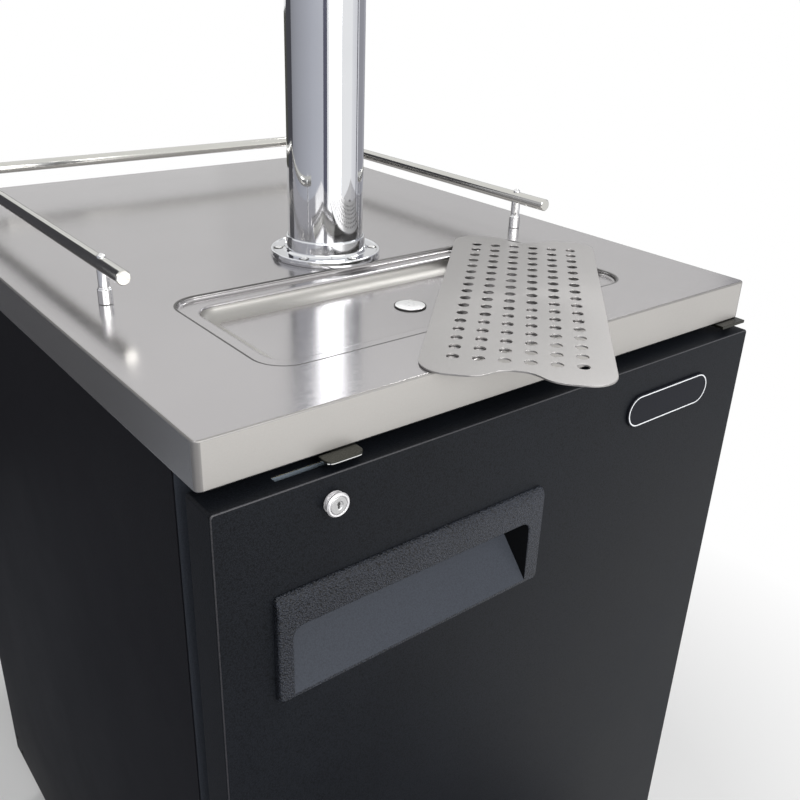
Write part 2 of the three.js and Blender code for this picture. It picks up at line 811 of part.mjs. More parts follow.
// Body of the liner, grown by some amount: the interior with the hump over the machine bay left out.
function interior(grown) {
  return block(-interiorHalf - grown, interiorHalf + grown, panelFrontY - overrun,
    interiorBackY + grown, interiorFloor - grown, interiorCeiling + grown)
    .subtract(block(-counterWidth, counterWidth, humpFrontY + grown, counterDepth,
      bodyBottom, humpTop - grown));
}

// The holes for the beer line and the drain's tail through the cabinet's roof.
function servicePassages() {
  return disc(lineHoleRadius, interiorCeiling - overrun, counterBottom, 24)
    .translate([0, towerY, 0])
    .add(disc(drainTailRadius + gap, interiorCeiling - overrun, counterBottom, 24)
      .translate([0, recessY, 0]));
}

function addCabinet() {
  const frameBack = panelFrontY + frameThickness;
  const skinFront = frameBack + gap;
  const front = block(-counterWidth, counterWidth, -counterDepth, skinFront, 0, counterHeight);
  addPiece('inner_liner', interior(linerGauge).subtract(interior(0)).subtract(front)
    .subtract(servicePassages()), whiteLiner);
  addPiece('cabinet_foam', block(-bodyHalf, bodyHalf, skinFront, foamBackY, foamBottom, bodyTop)
    .subtract(interior(linerGauge + gap))
    .subtract(block(bayWall - counterHalf, counterHalf - bayWall, humpFrontY + humpWall,
      foamBackY + overrun, foamBottom - overrun, bayTop))
    .subtract(servicePassages()), foam);

  const side = block(panelOuterX - panelGauge, panelOuterX, panelFrontY, panelBackY, bodyBottom,
    bodyTop);
  addPiece('right_side_panel', side, blackPaint);
  addPiece('left_side_panel', side.mirror([1, 0, 0]), blackPaint);

  addPiece('front_frame', block(-bodyHalf, bodyHalf, panelFrontY, frameBack, foamBottom, bodyTop)
    .subtract(block(-interiorHalf, interiorHalf, panelFrontY - overrun,
      frameBack + overrun, interiorFloor, openingTop)), blackPlastic);

  const backY = foamBackY + gap;
  addPiece('back_panel', block(-bodyHalf, bodyHalf, backY, backY + backSheetGauge,
    bayTop + grilleLap + gap, bodyTop), blackPaint);

  addPiece('base_frame', addCasterPlates(block(-bodyHalf, bodyHalf, skinFront, foamBackY, bodyBottom,
    trayTop + trayFlangeHeight)
    .subtract(block(trayGauge - bodyHalf, bodyHalf - trayGauge, skinFront - overrun,
      foamBackY - trayGauge, trayTop, foamBottom))), zinc);
}

const casterPlaces = [
  { name: 'front_left', x: casterSideInset - counterHalf, y: casterFrontY, heading: 180 },
  { name: 'front_right', x: counterHalf - casterSideInset, y: casterFrontY, heading: 180 },
  { name: 'back_left', x: casterSideInset - counterHalf, y: casterBackY, heading: 0 },
  { name: 'back_right', x: counterHalf - casterSideInset, y: casterBackY, heading: 0 },
];

function addCasterPlates(tray) {
  let base = tray;
  for (const { x, y } of casterPlaces) {
    base = base
      .add(block(x - casterPlateWidth / 2, x + casterPlateWidth / 2, y - casterPlateDepth / 2,
        y + casterPlateDepth / 2, casterHeight, bodyBottom + trayGauge / 2))
      .add(disc(kingpinRadius, casterHeight - kingpinLength, bodyBottom, 16).translate([x, y, 0]));
  }
  return base;
}

// Rows of slots centred on X, from one height to another, in one or more columns.
function slots(columnCentres, width, y0, y1, from, to) {
  const count = Math.floor((to - from - slotHeight) / slotPitch) + 1;
  const first = (from + to - (count - 1) * slotPitch - slotHeight) / 2;
  const cuts = columnCentres.flatMap((x) => Array.from({ length: count }, (unused, row) => block(
    x - width / 2, x + width / 2, y0 - overrun, y1 + overrun,
    first + row * slotPitch, first + row * slotPitch + slotHeight)));
  return cuts.reduce((all, cut) => all.add(cut));
}

function addGrilles() {
  const backY = foamBackY + gap;
  const rearSlotWidth = bodyHalf - rearSlotMargin - slotColumnGap / 2;
  const columnX = (rearSlotWidth + slotColumnGap) / 2;
  const grilleTop = bayTop + grilleLap;
  addPiece('rear_grille', block(-bodyHalf, bodyHalf, backY, backY + grilleGauge, bodyBottom, grilleTop)
    .subtract(slots([-columnX, columnX], rearSlotWidth, backY, backY + grilleGauge,
      inletZ + rearGrilleMargin, grilleTop - kickMargin))
    .subtract(block(inletX - inletWidth / 2 - gap, inletX + inletWidth / 2 + gap, backY - overrun,
      backY + overrun, inletZ - inletHeight / 2 - gap, inletZ + inletHeight / 2 + gap)), blackPaint);

  const kickBottom = bodyBottom + kickClearance;
  const kickBack = panelFrontY - gap;
  const kickSlotWidth = panelOuterX - kickSlotMargin - slotColumnGap / 2;
  const kickX = (kickSlotWidth + slotColumnGap) / 2;
  addPiece('kick_grille', block(-panelOuterX, panelOuterX, kickFrontY, kickBack, kickBottom, kickTop)
    .subtract(block(kickGauge - panelOuterX, panelOuterX - kickGauge, kickFrontY + kickGauge,
      kickBack + overrun, kickBottom - overrun, kickTop - kickGauge))
    .subtract(slots([-kickX, kickX], kickSlotWidth, kickFrontY, kickFrontY + kickGauge,
      kickBottom + kickMargin, kickTop - kickMargin)), blackPaint);

  const inletFace = backY + grilleGauge + gap;
  const flange = block(-inletWidth / 2 - inletFlangeLap, inletWidth / 2 + inletFlangeLap, inletFace,
    inletFace + inletFlangeThickness, -inletHeight / 2 - inletFlangeLap / 2,
    inletHeight / 2 + inletFlangeLap / 2);
  const shell = block(-inletWidth / 2, inletWidth / 2, inletFace - inletDepth,
    inletFace + inletFlangeThickness / 2,
    -inletHeight / 2, inletHeight / 2);
  const mouth = block(inletWall - inletWidth / 2, inletWidth / 2 - inletWall,
    inletFace - inletDepth + inletWall, inletFace + overrun, inletWall - inletHeight / 2,
    inletHeight / 2 - inletWall);
  let inlet = flange.add(shell).subtract(mouth);
  for (const side of [-1, 0, 1]) {
    const lift = side === 0 ? inletPinHeight / 2 : -inletPinHeight / 2;
    const x = side * inletPinSpacing;
    inlet = inlet.add(block(x - inletPinWidth / 2, x + inletPinWidth / 2,
      inletFace - inletDepth + inletWall / 2, inletFace - inletDepth + inletWall + inletPinLength,
      lift - inletPinHeight / 2, lift + inletPinHeight / 2));
  }
  addPiece('power_inlet', inlet.translate([inletX, 0, inletZ]), blackPlastic);
}

// Door handle: a bezel that stands proud of the skin, over a wedge-shaped finger pocket.
function handleSunkBody(grown) {
  return block(handleLeft + bezelLap - grown - counterHalf, handleRight - bezelLap + grown - counterHalf,
    doorFrontY - bezelProud / 2, doorFrontY + pocketDepth - bezelProud + pocketWall + grown,
    counterHeight - handleBottomDrop + bezelLap - grown,
    counterHeight - handleTopDrop - bezelLap + grown);
}

function addHandle() {
  const top = counterHeight - handleTopDrop;
  const bottom = counterHeight - handleBottomDrop;
  const face = doorFrontY - bezelProud;
  const seat = doorFrontY - gap;
  const curve = bezelCurveShares
    .map(([out, down]) => [seat + out * (face - seat), top - down * bezelCurve]);
  const bezel = profileAlongX([...curve, [face, bottom + bezelChamfer], [seat, bottom]],
    handleLeft - counterHalf, handleRight - counterHalf);
  const floorZ = counterHeight - pocketBottomDrop;
  const lip = counterHeight - pocketTopDrop;
  const slope = Math.tan(THREE.MathUtils.degToRad(pocketSlopeDegrees));
  const deepY = face + pocketDepth;
  const pocket = profileAlongX([[face - overrun, floorZ - overrun / slope],
    [deepY, floorZ + pocketDepth / slope], [deepY, lip + pocketRoof],
    [face + lipThickness, lip + pocketRoof], [face + lipThickness, lip], [face - overrun, lip]],
  pocketLeft - counterHalf, pocketRight - counterHalf);
  addPiece('door_handle', bezel.add(handleSunkBody(0)).subtract(pocket), blackPlastic);
}

function addDoor() {
  const leftX = -doorHalf;
  const hingePins = disc(hingePinRadius + gap, doorTop - hingePinLength - overrun,
    doorTop + overrun, 16)
    .add(disc(hingePinRadius + gap, doorBottom - overrun, doorBottom + hingePinLength + overrun, 16))
    .translate([hingeX, hingeAxisY, 0]);
  const camRoom = block(lockX + camWidth / 2 + camSideClearance - camSlotLength,
    lockX + camWidth / 2 + camSideClearance, camFrontY - camSideClearance,
    camFrontY + camThickness + camSideClearance, lockZ - camWidth / 2 - camSideClearance,
    doorTop + overrun);
  const lockHole = alongY(disc(lockBodyRadius + gap, doorFrontY - overrun, camFrontY, 20))
    .translate([lockX, 0, lockZ]);

  const shell = block(leftX, doorHalf, doorFrontY, doorBackY, doorBottom, doorTop)
    .subtract(block(leftX + doorGauge, doorHalf - doorGauge, doorFrontY + doorGauge,
      doorBackY + overrun, doorBottom + doorGauge, doorTop - doorGauge));
  addPiece('door_skin', shell.subtract(handleSunkBody(gap)).subtract(lockHole).subtract(camRoom)
    .subtract(hingePins), blackPaint);

  const inset = doorGauge + gap;
  const linerFront = doorBackY - doorLinerThickness;
  addPiece('door_liner', block(leftX + inset, doorHalf - inset, linerFront, doorBackY,
    doorBottom + inset, doorTop - inset), whiteLiner);
  addPiece('door_foam', block(leftX + inset, doorHalf - inset, doorFrontY + inset, linerFront - gap,
    doorBottom + inset, doorTop - inset)
    .subtract(handleSunkBody(gap)).subtract(lockHole).subtract(camRoom).subtract(hingePins), foam);

  const [outer, inner] = [gasketInset, gasketInset + gasketWidth];
  addPiece('door_gasket', block(leftX + outer, doorHalf - outer, doorBackY + gap, panelFrontY - gap,
    doorBottom + outer, doorTop - outer)
    .subtract(block(leftX + inner, doorHalf - inner, doorBackY - overrun, panelFrontY + overrun,
      doorBottom + inner, doorTop - inner)), rubber);

  const badge = raised(roundedRectangle(badgeLength, badgeHeight, badgeHeight / 2), 0, badgeThickness);
  addPiece('badge_plate', badge.rotate([90, 0, 0]).translate([
    counterHalf - badgeRightInset - badgeLength / 2, doorFrontY - gap, counterHeight - badgeDrop]),
  blackPlastic);
}

function addLock() {
  const place = [lockX, 0, lockZ];
  const face = doorFrontY - lockHeadProud;
  const seat = doorFrontY - gap;
  const bore = lockPlugRadius + gap;
  addPiece('lock_barrel', alongY(turned([[bore, face], [lockHeadRadius - lockHeadBevel, face],
    [lockHeadRadius, face + lockHeadBevel], [lockHeadRadius, seat], [lockBodyRadius, seat],
    [lockBodyRadius, lockBodyBackY], [bore, lockBodyBackY], [bore, face]], 20)).translate(place),
  polished);

  const keySlot = block(-keySlotWidth / 2, keySlotWidth / 2, face - overrun, face + keySlotDepth,
    -keySlotHeight / 2, keySlotHeight / 2);
  const plug = alongY(turned([[0, face], [lockPlugRadius, face], [lockPlugRadius, lockBodyBackY],
    [camTailRadius, lockBodyBackY], [camTailRadius, camFrontY + camThickness + camTailProud],
    [0, camFrontY + camThickness + camTailProud]], 20)).subtract(keySlot);
  addPiece('lock_plug', plug.translate(place), polished);

  const arm = block(-camReach, 0, camFrontY, camFrontY + camThickness, -camWidth / 2, camWidth / 2)
    .add(alongY(disc(camWidth / 2 + camTailProud, camFrontY, camFrontY + camThickness, 16)))
    .subtract(alongY(disc(camTailRadius + gap, camFrontY - overrun, camFrontY + overrun, 16)))
    .intersect(alongY(disc(camReach, camFrontY - overrun, camFrontY + overrun, 32)));
  addPiece('lock_cam', arm.translate(place), zinc);

  const strikeTop = counterBottom - gap;
  const notch = block(strikeLeft - overrun, lockLeft + camWidth / 2 + camSideClearance,
    camFrontY - camSideClearance, camFrontY + camThickness + camSideClearance,
    counterBottom - 2 * overrun, counterBottom);
  addPiece('lock_strike', block(strikeLeft, strikeRight, strikeFrontY, strikeBackY,
    strikeTop - strikeThickness, strikeTop).subtract(notch).translate([-counterHalf, 0, 0]), zinc);
}

function addDoorHinges() {
  const inner = hingeX - hingePlateInner;
  const outer = hingeX + hingePlateHalfWidth - gap;
  const front = hingeAxisY - hingePlateFront;
  const topPlate = counterBottom - gap;
  addPiece('top_hinge', block(inner, outer, front, hingeTopPlateBackY, topPlate - hingePlateThickness,
    topPlate)
    .add(disc(hingePinRadius, doorTop - hingePinLength, topPlate - hingePlateThickness / 2, 16)
      .translate([hingeX, hingeAxisY, 0])), zinc);

  const plateTop = doorBottom - hingeRunningGap;
  const flangeFront = panelFrontY - gap - hingePlateThickness;
  addPiece('bottom_hinge', block(inner, outer, front, panelFrontY - gap,
    plateTop - hingePlateThickness, plateTop)
    .add(block(inner, outer, flangeFront, panelFrontY - gap, plateTop - hingePlateThickness,
      plateTop - hingePlateThickness + hingeFlangeHeight))
    .add(disc(hingePinRadius, plateTop - hingePlateThickness / 2, doorBottom + hingePinLength, 16)
      .translate([hingeX, hingeAxisY, 0])), zinc);
}

// Fan about Y at the origin: hub and pitched blades, with a bore for the motor's shaft.
function fan(radius) {
  const bladeLength = radius - fanTipClearance;
  let wheel = disc(fanHubRadius, 0, fanHubLength);
  for (let blade = 0; blade < fanBladeCount; blade += 1) {
    wheel = wheel.add(block(0, bladeLength, -fanBladeWidth / 2, fanBladeWidth / 2,
      -fanBladeThickness / 2, fanBladeThickness / 2)
      .rotate([fanBladePitchDegrees, 0, 0]).translate([0, 0, fanHubLength / 2])
      .rotate([0, 0, (blade / fanBladeCount) * 360]));
  }
  return alongY(wheel.subtract(disc(fanShaftRadius + gap, -fanBladeWidth, fanBladeWidth, 12)));
}

// Motor with its shaft towards the front, on a bar between two points of a frame.
function fanMotor(frontY, halfSpan) {
  return alongY(disc(motorRadius, frontY, frontY + motorLength))
    .add(alongY(disc(fanShaftRadius, frontY - fanShaftLength, frontY + overrun, 12)))
    .add(block(-halfSpan, halfSpan, frontY + motorLength - motorArmThickness, frontY + motorLength,
      -motorArmHeight / 2, motorArmHeight / 2));
}

function addEvaporator() {
  const evaporatorTop = interiorCeiling - evaporatorTopDrop;
  const evaporatorBottom = evaporatorTop - evaporatorHeight;
  const evaporatorFrontY = interiorBackY - evaporatorDepth;
  const evaporatorMotorY = evaporatorFrontY + evaporatorMotorInset;
  const evaporatorHalf = interiorHalf - evaporatorSideInset;
  const knobX = evaporatorHalf - knobSideInset;
  const fanZ = evaporatorBottom + evaporatorFanLift;
  const backY = interiorBackY - gap;
  const innerHalf = evaporatorHalf - evaporatorWall;
  const face = evaporatorFrontY + evaporatorWall;
  const shell = block(-evaporatorHalf, evaporatorHalf, evaporatorFrontY, backY,
    evaporatorBottom, evaporatorTop)
    .subtract(block(-innerHalf, innerHalf, face, backY - evaporatorWall,
      evaporatorBottom - overrun, evaporatorTop - evaporatorWall))
    .subtract(alongY(disc(evaporatorFanRadius, evaporatorFrontY - overrun, face + overrun, 32))
      .translate([0, 0, fanZ]))
    .subtract(alongY(disc(knobStemRadius + gap, evaporatorFrontY - overrun, face + overrun, 12))
      .translate([knobX, 0, evaporatorBottom + knobLift]));
  const motor = fanMotor(evaporatorMotorY, innerHalf + evaporatorWall / 2).translate([0, 0, fanZ]);
  addPiece('evaporator_housing', shell.add(motor), whiteLiner);
  addPiece('evaporator_fan', fan(evaporatorFanRadius)
    .translate([0, evaporatorMotorY - gap - fanHubLength, fanZ]), blackPlastic);

  const knobBack = evaporatorFrontY - gap;
  const knobFace = knobBack - knobThickness;
  const knobFaceRadius = knobFaceShare * knobRadius;
  const knob = alongY(turned([[0, knobFace], [knobFaceRadius, knobFace],
    [knobRadius, knobBack], [knobStemRadius, knobBack],
    [knobStemRadius, knobBack + knobStemLength], [0, knobBack + knobStemLength]], 20))
    .add(block(-knobRidgeWidth / 2, knobRidgeWidth / 2, knobFace - knobRidgeHeight,
      knobFace + overrun, 0, knobFaceRadius));
  addPiece('thermostat_knob', knob.translate([knobX, 0, evaporatorBottom + knobLift]), blackPlastic);
}

function addCondensingUnit() {
  const compressorX = counterHalf - compressorSideInset;
  const compressorY = foamBackY - compressorBackInset;
  const condenserLeft = condenserSideInset - counterHalf;
  const condenserRight = condenserLeft + condenserWidth;
  const condenserFrontY = humpFrontY + humpWall + condenserBayGap;
  const deck = trayTop + gap;
  const footZ = deck + compressorFootLift;
  const canBottom = footZ + compressorFootThickness / 2;
  const canTop = canBottom + compressorHeight;
  const seam = canBottom + compressorHeight / 2;
  const canRadius = compressorRadius - compressorWaist;
  const can = turned([[0, canBottom], [compressorBaseShare * compressorRadius, canBottom],
    [canRadius, canBottom + compressorBaseRise], [canRadius, seam], [compressorRadius, seam],
    [compressorRadius, seam + compressorWaist], [canRadius, seam + compressorWaist],
    [canRadius, canTop - compressorShoulderDrop],
    [compressorCrownShare * compressorRadius, canTop - compressorCrownDrop], [0, canTop]], 20);
  const [footX, footY] = [compressorFootLength / 2, compressorFootWidth / 2];
  let compressor = can.add(block(-footX, footX, -footY, footY, footZ, footZ + compressorFootThickness));
  for (const [x, y] of [[-1, -1], [-1, 1], [1, -1], [1, 1]]) {
    compressor = compressor.add(disc(compressorLegRadius, deck, footZ + compressorFootThickness / 2, 12)
      .translate([x * (footX - compressorLegRadius), y * (footY - compressorLegRadius), 0]));
  }
  addPiece('compressor', compressor.translate([compressorX, compressorY, 0]), blackPaint);

  const top = deck + condenserHeight;
  const backY = condenserFrontY + condenserThickness;
  const core = block(condenserLeft + condenserEndPlate / 2, condenserRight - condenserEndPlate / 2,
    condenserFrontY + condenserEndLip, backY - condenserEndLip, deck + condenserEndLip,
    top - condenserEndLip);
  const plate = block(0, condenserEndPlate, condenserFrontY, backY, deck, top);
  addPiece('condenser', core.add(plate.translate([condenserLeft, 0, 0]))
    .add(plate.translate([condenserRight - condenserEndPlate, 0, 0])), zinc);

  const fanX = (condenserLeft + condenserRight) / 2;
  const fanZ = (deck + top) / 2;
  const shroudFront = backY + gap;
  const motorFront = shroudFront + shroudStandoff + fanShaftLength;
  const shroudBack = motorFront + motorLength;
  const halfSpan = (condenserRight - condenserLeft) / 2;
  const shell = block(condenserLeft, condenserRight, shroudFront, shroudBack, deck, top)
    .subtract(block(condenserLeft + shroudWall, condenserRight - shroudWall,
      shroudFront - overrun, shroudBack + overrun, deck + shroudWall, top - shroudWall));
  const baffle = block(condenserLeft, condenserRight, shroudFront, shroudFront + shroudWall, deck, top)
    .subtract(alongY(disc(condenserFanRadius, shroudFront - overrun, shroudFront + overrun, 32))
      .translate([fanX, 0, fanZ]));
  addPiece('condenser_shroud', shell.add(baffle)
    .add(fanMotor(motorFront, halfSpan - shroudWall / 2).translate([fanX, 0, fanZ])), blackPaint);
  addPiece('condenser_fan', fan(condenserFanRadius)
    .translate([fanX, motorFront - gap - fanHubLength, fanZ]), blackPlastic);
}

// One caster about its swivel axis, with its wheel trailing towards the back.
function addCaster({ name, x, y, heading }, braked) {
  const holder = new THREE.Group();
  holder.position.set(x, y, 0);
  holder.rotation.z = THREE.MathUtils.degToRad(heading);
  kegerator.add(holder);

  const axleZ = wheelRadius * Math.cos(Math.PI / wheelSides);
  const top = casterHeight - gap;
  const legIn = wheelWidth / 2 + wheelSideClearance;
  const legOut = legIn + forkLegThickness;
  const legShape = (x0) => profileAlongX([[-forkTopRadius / 2, top], [forkTopRadius, top],
    [casterTrail + pedalPinOut + 2 * pedalPinRadius, axleZ + pedalPinUp],
    [casterTrail + forkLegWidth / 2, axleZ - forkLegWidth / 2],
    [casterTrail - forkLegWidth / 2, axleZ - forkLegWidth / 2]], x0, x0 + forkLegThickness);
  const axle = alongX(disc(axleRadius, -legOut, legOut, 12)
    .add(disc(axleHeadRadius, -legOut - axleHeadThickness, -legIn - forkLegThickness / 2, 8))
    .add(disc(axleHeadRadius, legIn + forkLegThickness / 2, legOut + axleHeadThickness, 8)))
    .translate([0, casterTrail, axleZ]);
  const pinHole = alongX(disc(pedalPinRadius + gap, -2 * legOut, 2 * legOut, 12))
    .translate([0, casterTrail + pedalPinOut, axleZ + pedalPinUp]);
  let fork = disc(forkTopRadius, top - forkTopThickness, top, 16)
    .add(legShape(legIn)).add(legShape(-legOut)).add(axle)
    .subtract(disc(kingpinRadius + gap, top - 2 * forkTopThickness, top + overrun, 12));
  if (braked) fork = fork.subtract(pinHole);
  addPiece(`caster_fork_${name}`, fork, zinc, holder);

  const crown = wheelRadius - treadCrown;
  const half = wheelWidth / 2;
  const bore = axleRadius + wheelBoreClearance;
  const wheel = turned([[bore, -half], [crown, -half], [wheelRadius, treadCrown - half],
    [wheelRadius, half - treadCrown], [crown, half], [bore, half], [bore, -half]], wheelSides)
    .rotate([0, 0, 180 / wheelSides]);
  addPiece(`caster_wheel_${name}`, alongX(wheel).translate([0, casterTrail, axleZ]), greyTread, holder);

  if (braked) {
    const [pinY, pinZ] = [casterTrail + pedalPinOut, axleZ + pedalPinUp];
    const tread = profileAlongX([[-pedalPinRadius, -pedalPinRadius], [pedalLength, -pedalThickness],
      [pedalLength + pedalNose, pedalThickness], [pedalLength - pedalTread, pedalThickness],
      [pedalPinRadius, pedalPinRadius], [-pedalPinRadius, pedalPinRadius]],
    -pedalWidth / 2, pedalWidth / 2);
    const pin = alongX(disc(pedalPinRadius, -legOut, legOut, 12));
    addPiece(`brake_pedal_${name}`, tread.add(pin).translate([0, pinY, pinZ]), blackPlastic, holder);
  }
}

addCounter();
addDrain();
addDripGrid();
addGuardRail();
addTower();
addFaucet();
addCabinet();
addGrilles();
addHandle();
addDoor();
addLock();
addDoorHinges();
addEvaporator();
addCondensingUnit();
casterPlaces.forEach((caster) => addCaster(caster, caster.y === casterFrontY));

// The origin is on the floor, under the middle of the whole part.
kegerator.updateMatrixWorld(true);
const bounds = new THREE.Box3().setFromObject(kegerator, true);
kegerator.position.set(
  -(bounds.min.x + bounds.max.x) / 2, -(bounds.min.y + bounds.max.y) / 2, -bounds.min.z);

export default kegerator;
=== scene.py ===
"""A keg cooler with a stainless counter, a drip recess, a guard rail and a draught tower.

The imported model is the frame. Each class here builds one sub-assembly around it, in metres.
"""

import logging
import math
from dataclasses import dataclass
from enum import Enum
from typing import Iterable, Optional, Sequence

import bmesh
import bpy
from mathutils import Matrix, Vector


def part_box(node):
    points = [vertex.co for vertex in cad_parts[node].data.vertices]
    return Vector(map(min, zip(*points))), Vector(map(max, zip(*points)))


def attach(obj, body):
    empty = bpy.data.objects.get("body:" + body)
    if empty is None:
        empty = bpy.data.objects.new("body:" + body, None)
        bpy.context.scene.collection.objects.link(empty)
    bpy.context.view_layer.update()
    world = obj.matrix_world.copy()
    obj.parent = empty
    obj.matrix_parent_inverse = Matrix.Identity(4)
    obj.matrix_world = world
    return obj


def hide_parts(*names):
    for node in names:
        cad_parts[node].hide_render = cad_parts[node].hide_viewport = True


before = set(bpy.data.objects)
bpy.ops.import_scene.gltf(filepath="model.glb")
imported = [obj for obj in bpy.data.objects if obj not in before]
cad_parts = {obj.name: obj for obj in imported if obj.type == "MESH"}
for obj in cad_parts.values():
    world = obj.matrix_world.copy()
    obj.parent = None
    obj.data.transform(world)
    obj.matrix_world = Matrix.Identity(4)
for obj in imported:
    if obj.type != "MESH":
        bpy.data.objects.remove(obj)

LOG = logging.getLogger("kegerator")
Flat = tuple[float, float]
Triple = tuple[float, float, float]
Socket = bpy.types.NodeSocket
ZERO = (0.0, 0.0, 0.0)
WHITE_LIGHT = (1.0, 1.0, 1.0, 1.0)


# Shader and geometry node helpers


class Graph:
    """Short calls for adding nodes to a tree and joining them."""

    def __init__(self, tree: bpy.types.NodeTree) -> None:
        """Keeps the node tree that grows."""
        self.tree = tree

    def feed(self, socket: Socket, value: object) -> None:
        """Joins another node's output to an input, or sets the input's plain value.

        Args:
            socket: The input.
            value: An output socket, or a plain value.
        """
        if isinstance(value, Socket):
            self.tree.links.new(value, socket)
        else:
            socket.default_value = value

    def add(self, kind: str, inputs: Optional[dict] = None, **settings: object) -> bpy.types.Node:
        """Adds one node.

        Args:
            kind: Blender's name of the node type.
            inputs: Values or sockets by input name or index.
            **settings: Properties of the node itself.

        Returns:
            The new node.
        """
        node = self.tree.nodes.new(kind)
        for key, value in settings.items():
            setattr(node, key, value)
        for key, value in (inputs or {}).items():
            self.feed(node.inputs[key], value)
        return node

    def out(self, kind: str, inputs: Optional[dict] = None, **settings: object) -> Socket:
        """Adds one node, as add does, and gives its first output."""
        return self.add(kind, inputs, **settings).outputs[0]

    def maths(self, kind: str, *terms: object) -> Socket:
        """Does one operation of the Math node on its terms."""
        return self.out("ShaderNodeMath", dict(enumerate(terms)), operation=kind)

    def mean(self, first: object, second: object) -> Socket:
        """Gives the mean of two values."""
        return self.maths("MULTIPLY", self.maths("ADD", first, second), 0.5)

    def vectors(self, kind: str, inputs: dict) -> Socket:
        """Does one operation of the Vector Math node on its inputs."""
        return self.out("ShaderNodeVectorMath", inputs, operation=kind)

    def noise(self, place: object, scale: object, detail: float, roughness: float) -> Socket:
        """Adds a noise texture with its usual four inputs."""
        inputs = {"Vector": place, "Scale": scale, "Detail": detail, "Roughness": roughness}
        return self.out("ShaderNodeTexNoise", inputs)

    def ranged(
        self, value: object, low: float, high: float, start: float = 0.0, stop: float = 1.0
    ) -> Socket:
        """Maps a value onto a range.

        Args:
            value: The socket that holds the value.
            low: The result at the start.
            high: The result at the stop.
            start: The value that gives the low result.
            stop: The value that gives the high result.

        Returns:
            The mapped value's socket.
        """
        inputs = {"Value": value, "From Min": start, "From Max": stop}
        return self.out("ShaderNodeMapRange", {**inputs, "To Min": low, "To Max": high})

    def blend(self, share: object, low: object, high: object) -> Socket:
        """Mixes two colours by the share of the second one."""
        return self.add("ShaderNodeMix", {0: share, 6: low, 7: high}, data_type="RGBA").outputs[2]

    def bump(self, height: object, strength: float, distance: float) -> Socket:
        """Turns a height into a normal."""
        inputs = {"Strength": strength, "Distance": distance, "Height": height}
        return self.out("ShaderNodeBump", inputs)

    def group(self, tree: bpy.types.NodeTree, inputs: dict) -> bpy.types.bpy_prop_collection:
        """Places a shader node group and gives its outputs."""
        return self.add("ShaderNodeGroup", inputs, node_tree=tree).outputs

    def watched(self) -> Socket:
        """Gives 1 to rays from the camera, off metal or through glass, and 0 to others.

        Returns:
            The share's socket.
        """
        path = self.add("ShaderNodeLightPath").outputs
        mirrored = self.maths("MAXIMUM", path["Is Glossy Ray"], path["Is Transmission Ray"])
        return self.maths("MAXIMUM", path["Is Camera Ray"], mirrored)


def emptied(block: bpy.types.ID) -> Graph:
    """Turns on the nodes of a material or a world and gives its empty graph.

    Args:
        block: The material or the world.

    Returns:
        The graph, without nodes.
    """
    block.use_nodes = True
    block.node_tree.nodes.clear()
    return Graph(block.node_tree)


class Group(Graph):
    """A shader node group with named inputs and outputs, built once and shared."""

    def __init__(self, name: str, takes: dict[str, object], gives: Sequence[str]) -> None:
        """Makes the empty group with its sockets.

        Args:
            name: The group's name.
            takes: Default of each input by name: a number, or three for a vector.
            gives: Name of each output, which holds a number.
        """
        super().__init__(bpy.data.node_groups.new(name, "ShaderNodeTree"))
        for key, default in takes.items():
            kind = "NodeSocketVector" if isinstance(default, tuple) else "NodeSocketFloat"
            socket = self.tree.interface.new_socket(key, in_out="INPUT", socket_type=kind)
            socket.default_value = default
        for key in gives:
            self.tree.interface.new_socket(key, in_out="OUTPUT", socket_type="NodeSocketFloat")
        self.takes = self.tree.nodes.new("NodeGroupInput").outputs
        self.gives = self.tree.nodes.new("NodeGroupOutput").inputs

    def close(self, *results: Socket) -> bpy.types.NodeTree:
        """Joins the outputs in their order and gives the group's tree.

        Args:
            *results: What each output gets.

        Returns:
            The group's tree.
        """
        for socket, result in zip(self.gives, results):
            self.feed(socket, result)
        return self.tree


def grain_group() -> bpy.types.NodeTree:
    """Makes fine lines along one direction, specks and soft clouds, as on brushed sheet.

    Returns:
        The group's tree.
    """
    takes = {"Vector": ZERO, "Stretch": (1.0, 1.0, 1.0), "Fineness": 900.0, "Cloud Scale": 7.0}
    group = Group("Brushed grain", takes, ("Lines", "Specks", "Clouds"))
    place = group.takes["Vector"]
    along = group.vectors("MULTIPLY", {0: place, 1: group.takes["Stretch"]})
    return group.close(
        group.noise(along, group.takes["Fineness"], 3.0, 0.62),
        group.noise(place, 1400.0, 1.0, 0.5),
        group.noise(place, group.takes["Cloud Scale"], 5.0, 0.55),
    )


def grit_group() -> bpy.types.NodeTree:
    """Makes the small bumps of textured paint and of grained moulded plastic.

    Returns:
        The group's tree.
    """
    takes = {"Vector": ZERO, "Bump Scale": 800.0, "Cloud Scale": 5.0}
    group = Group("Textured skin", takes, ("Bumps", "Clouds"))
    place, scale = group.takes["Vector"], group.takes["Bump Scale"]
    inputs = {"Vector": place, "Scale": scale, "Smoothness": 0.6}
    cells = group.out("ShaderNodeTexVoronoi", inputs, feature="SMOOTH_F1")
    fine = group.noise(place, group.maths("MULTIPLY", scale, 1.7), 2.0, 0.6)
    bumps = group.mean(group.maths("SUBTRACT", 1.0, cells), fine)
    return group.close(bumps, group.noise(place, group.takes["Cloud Scale"], 4.0, 0.6))


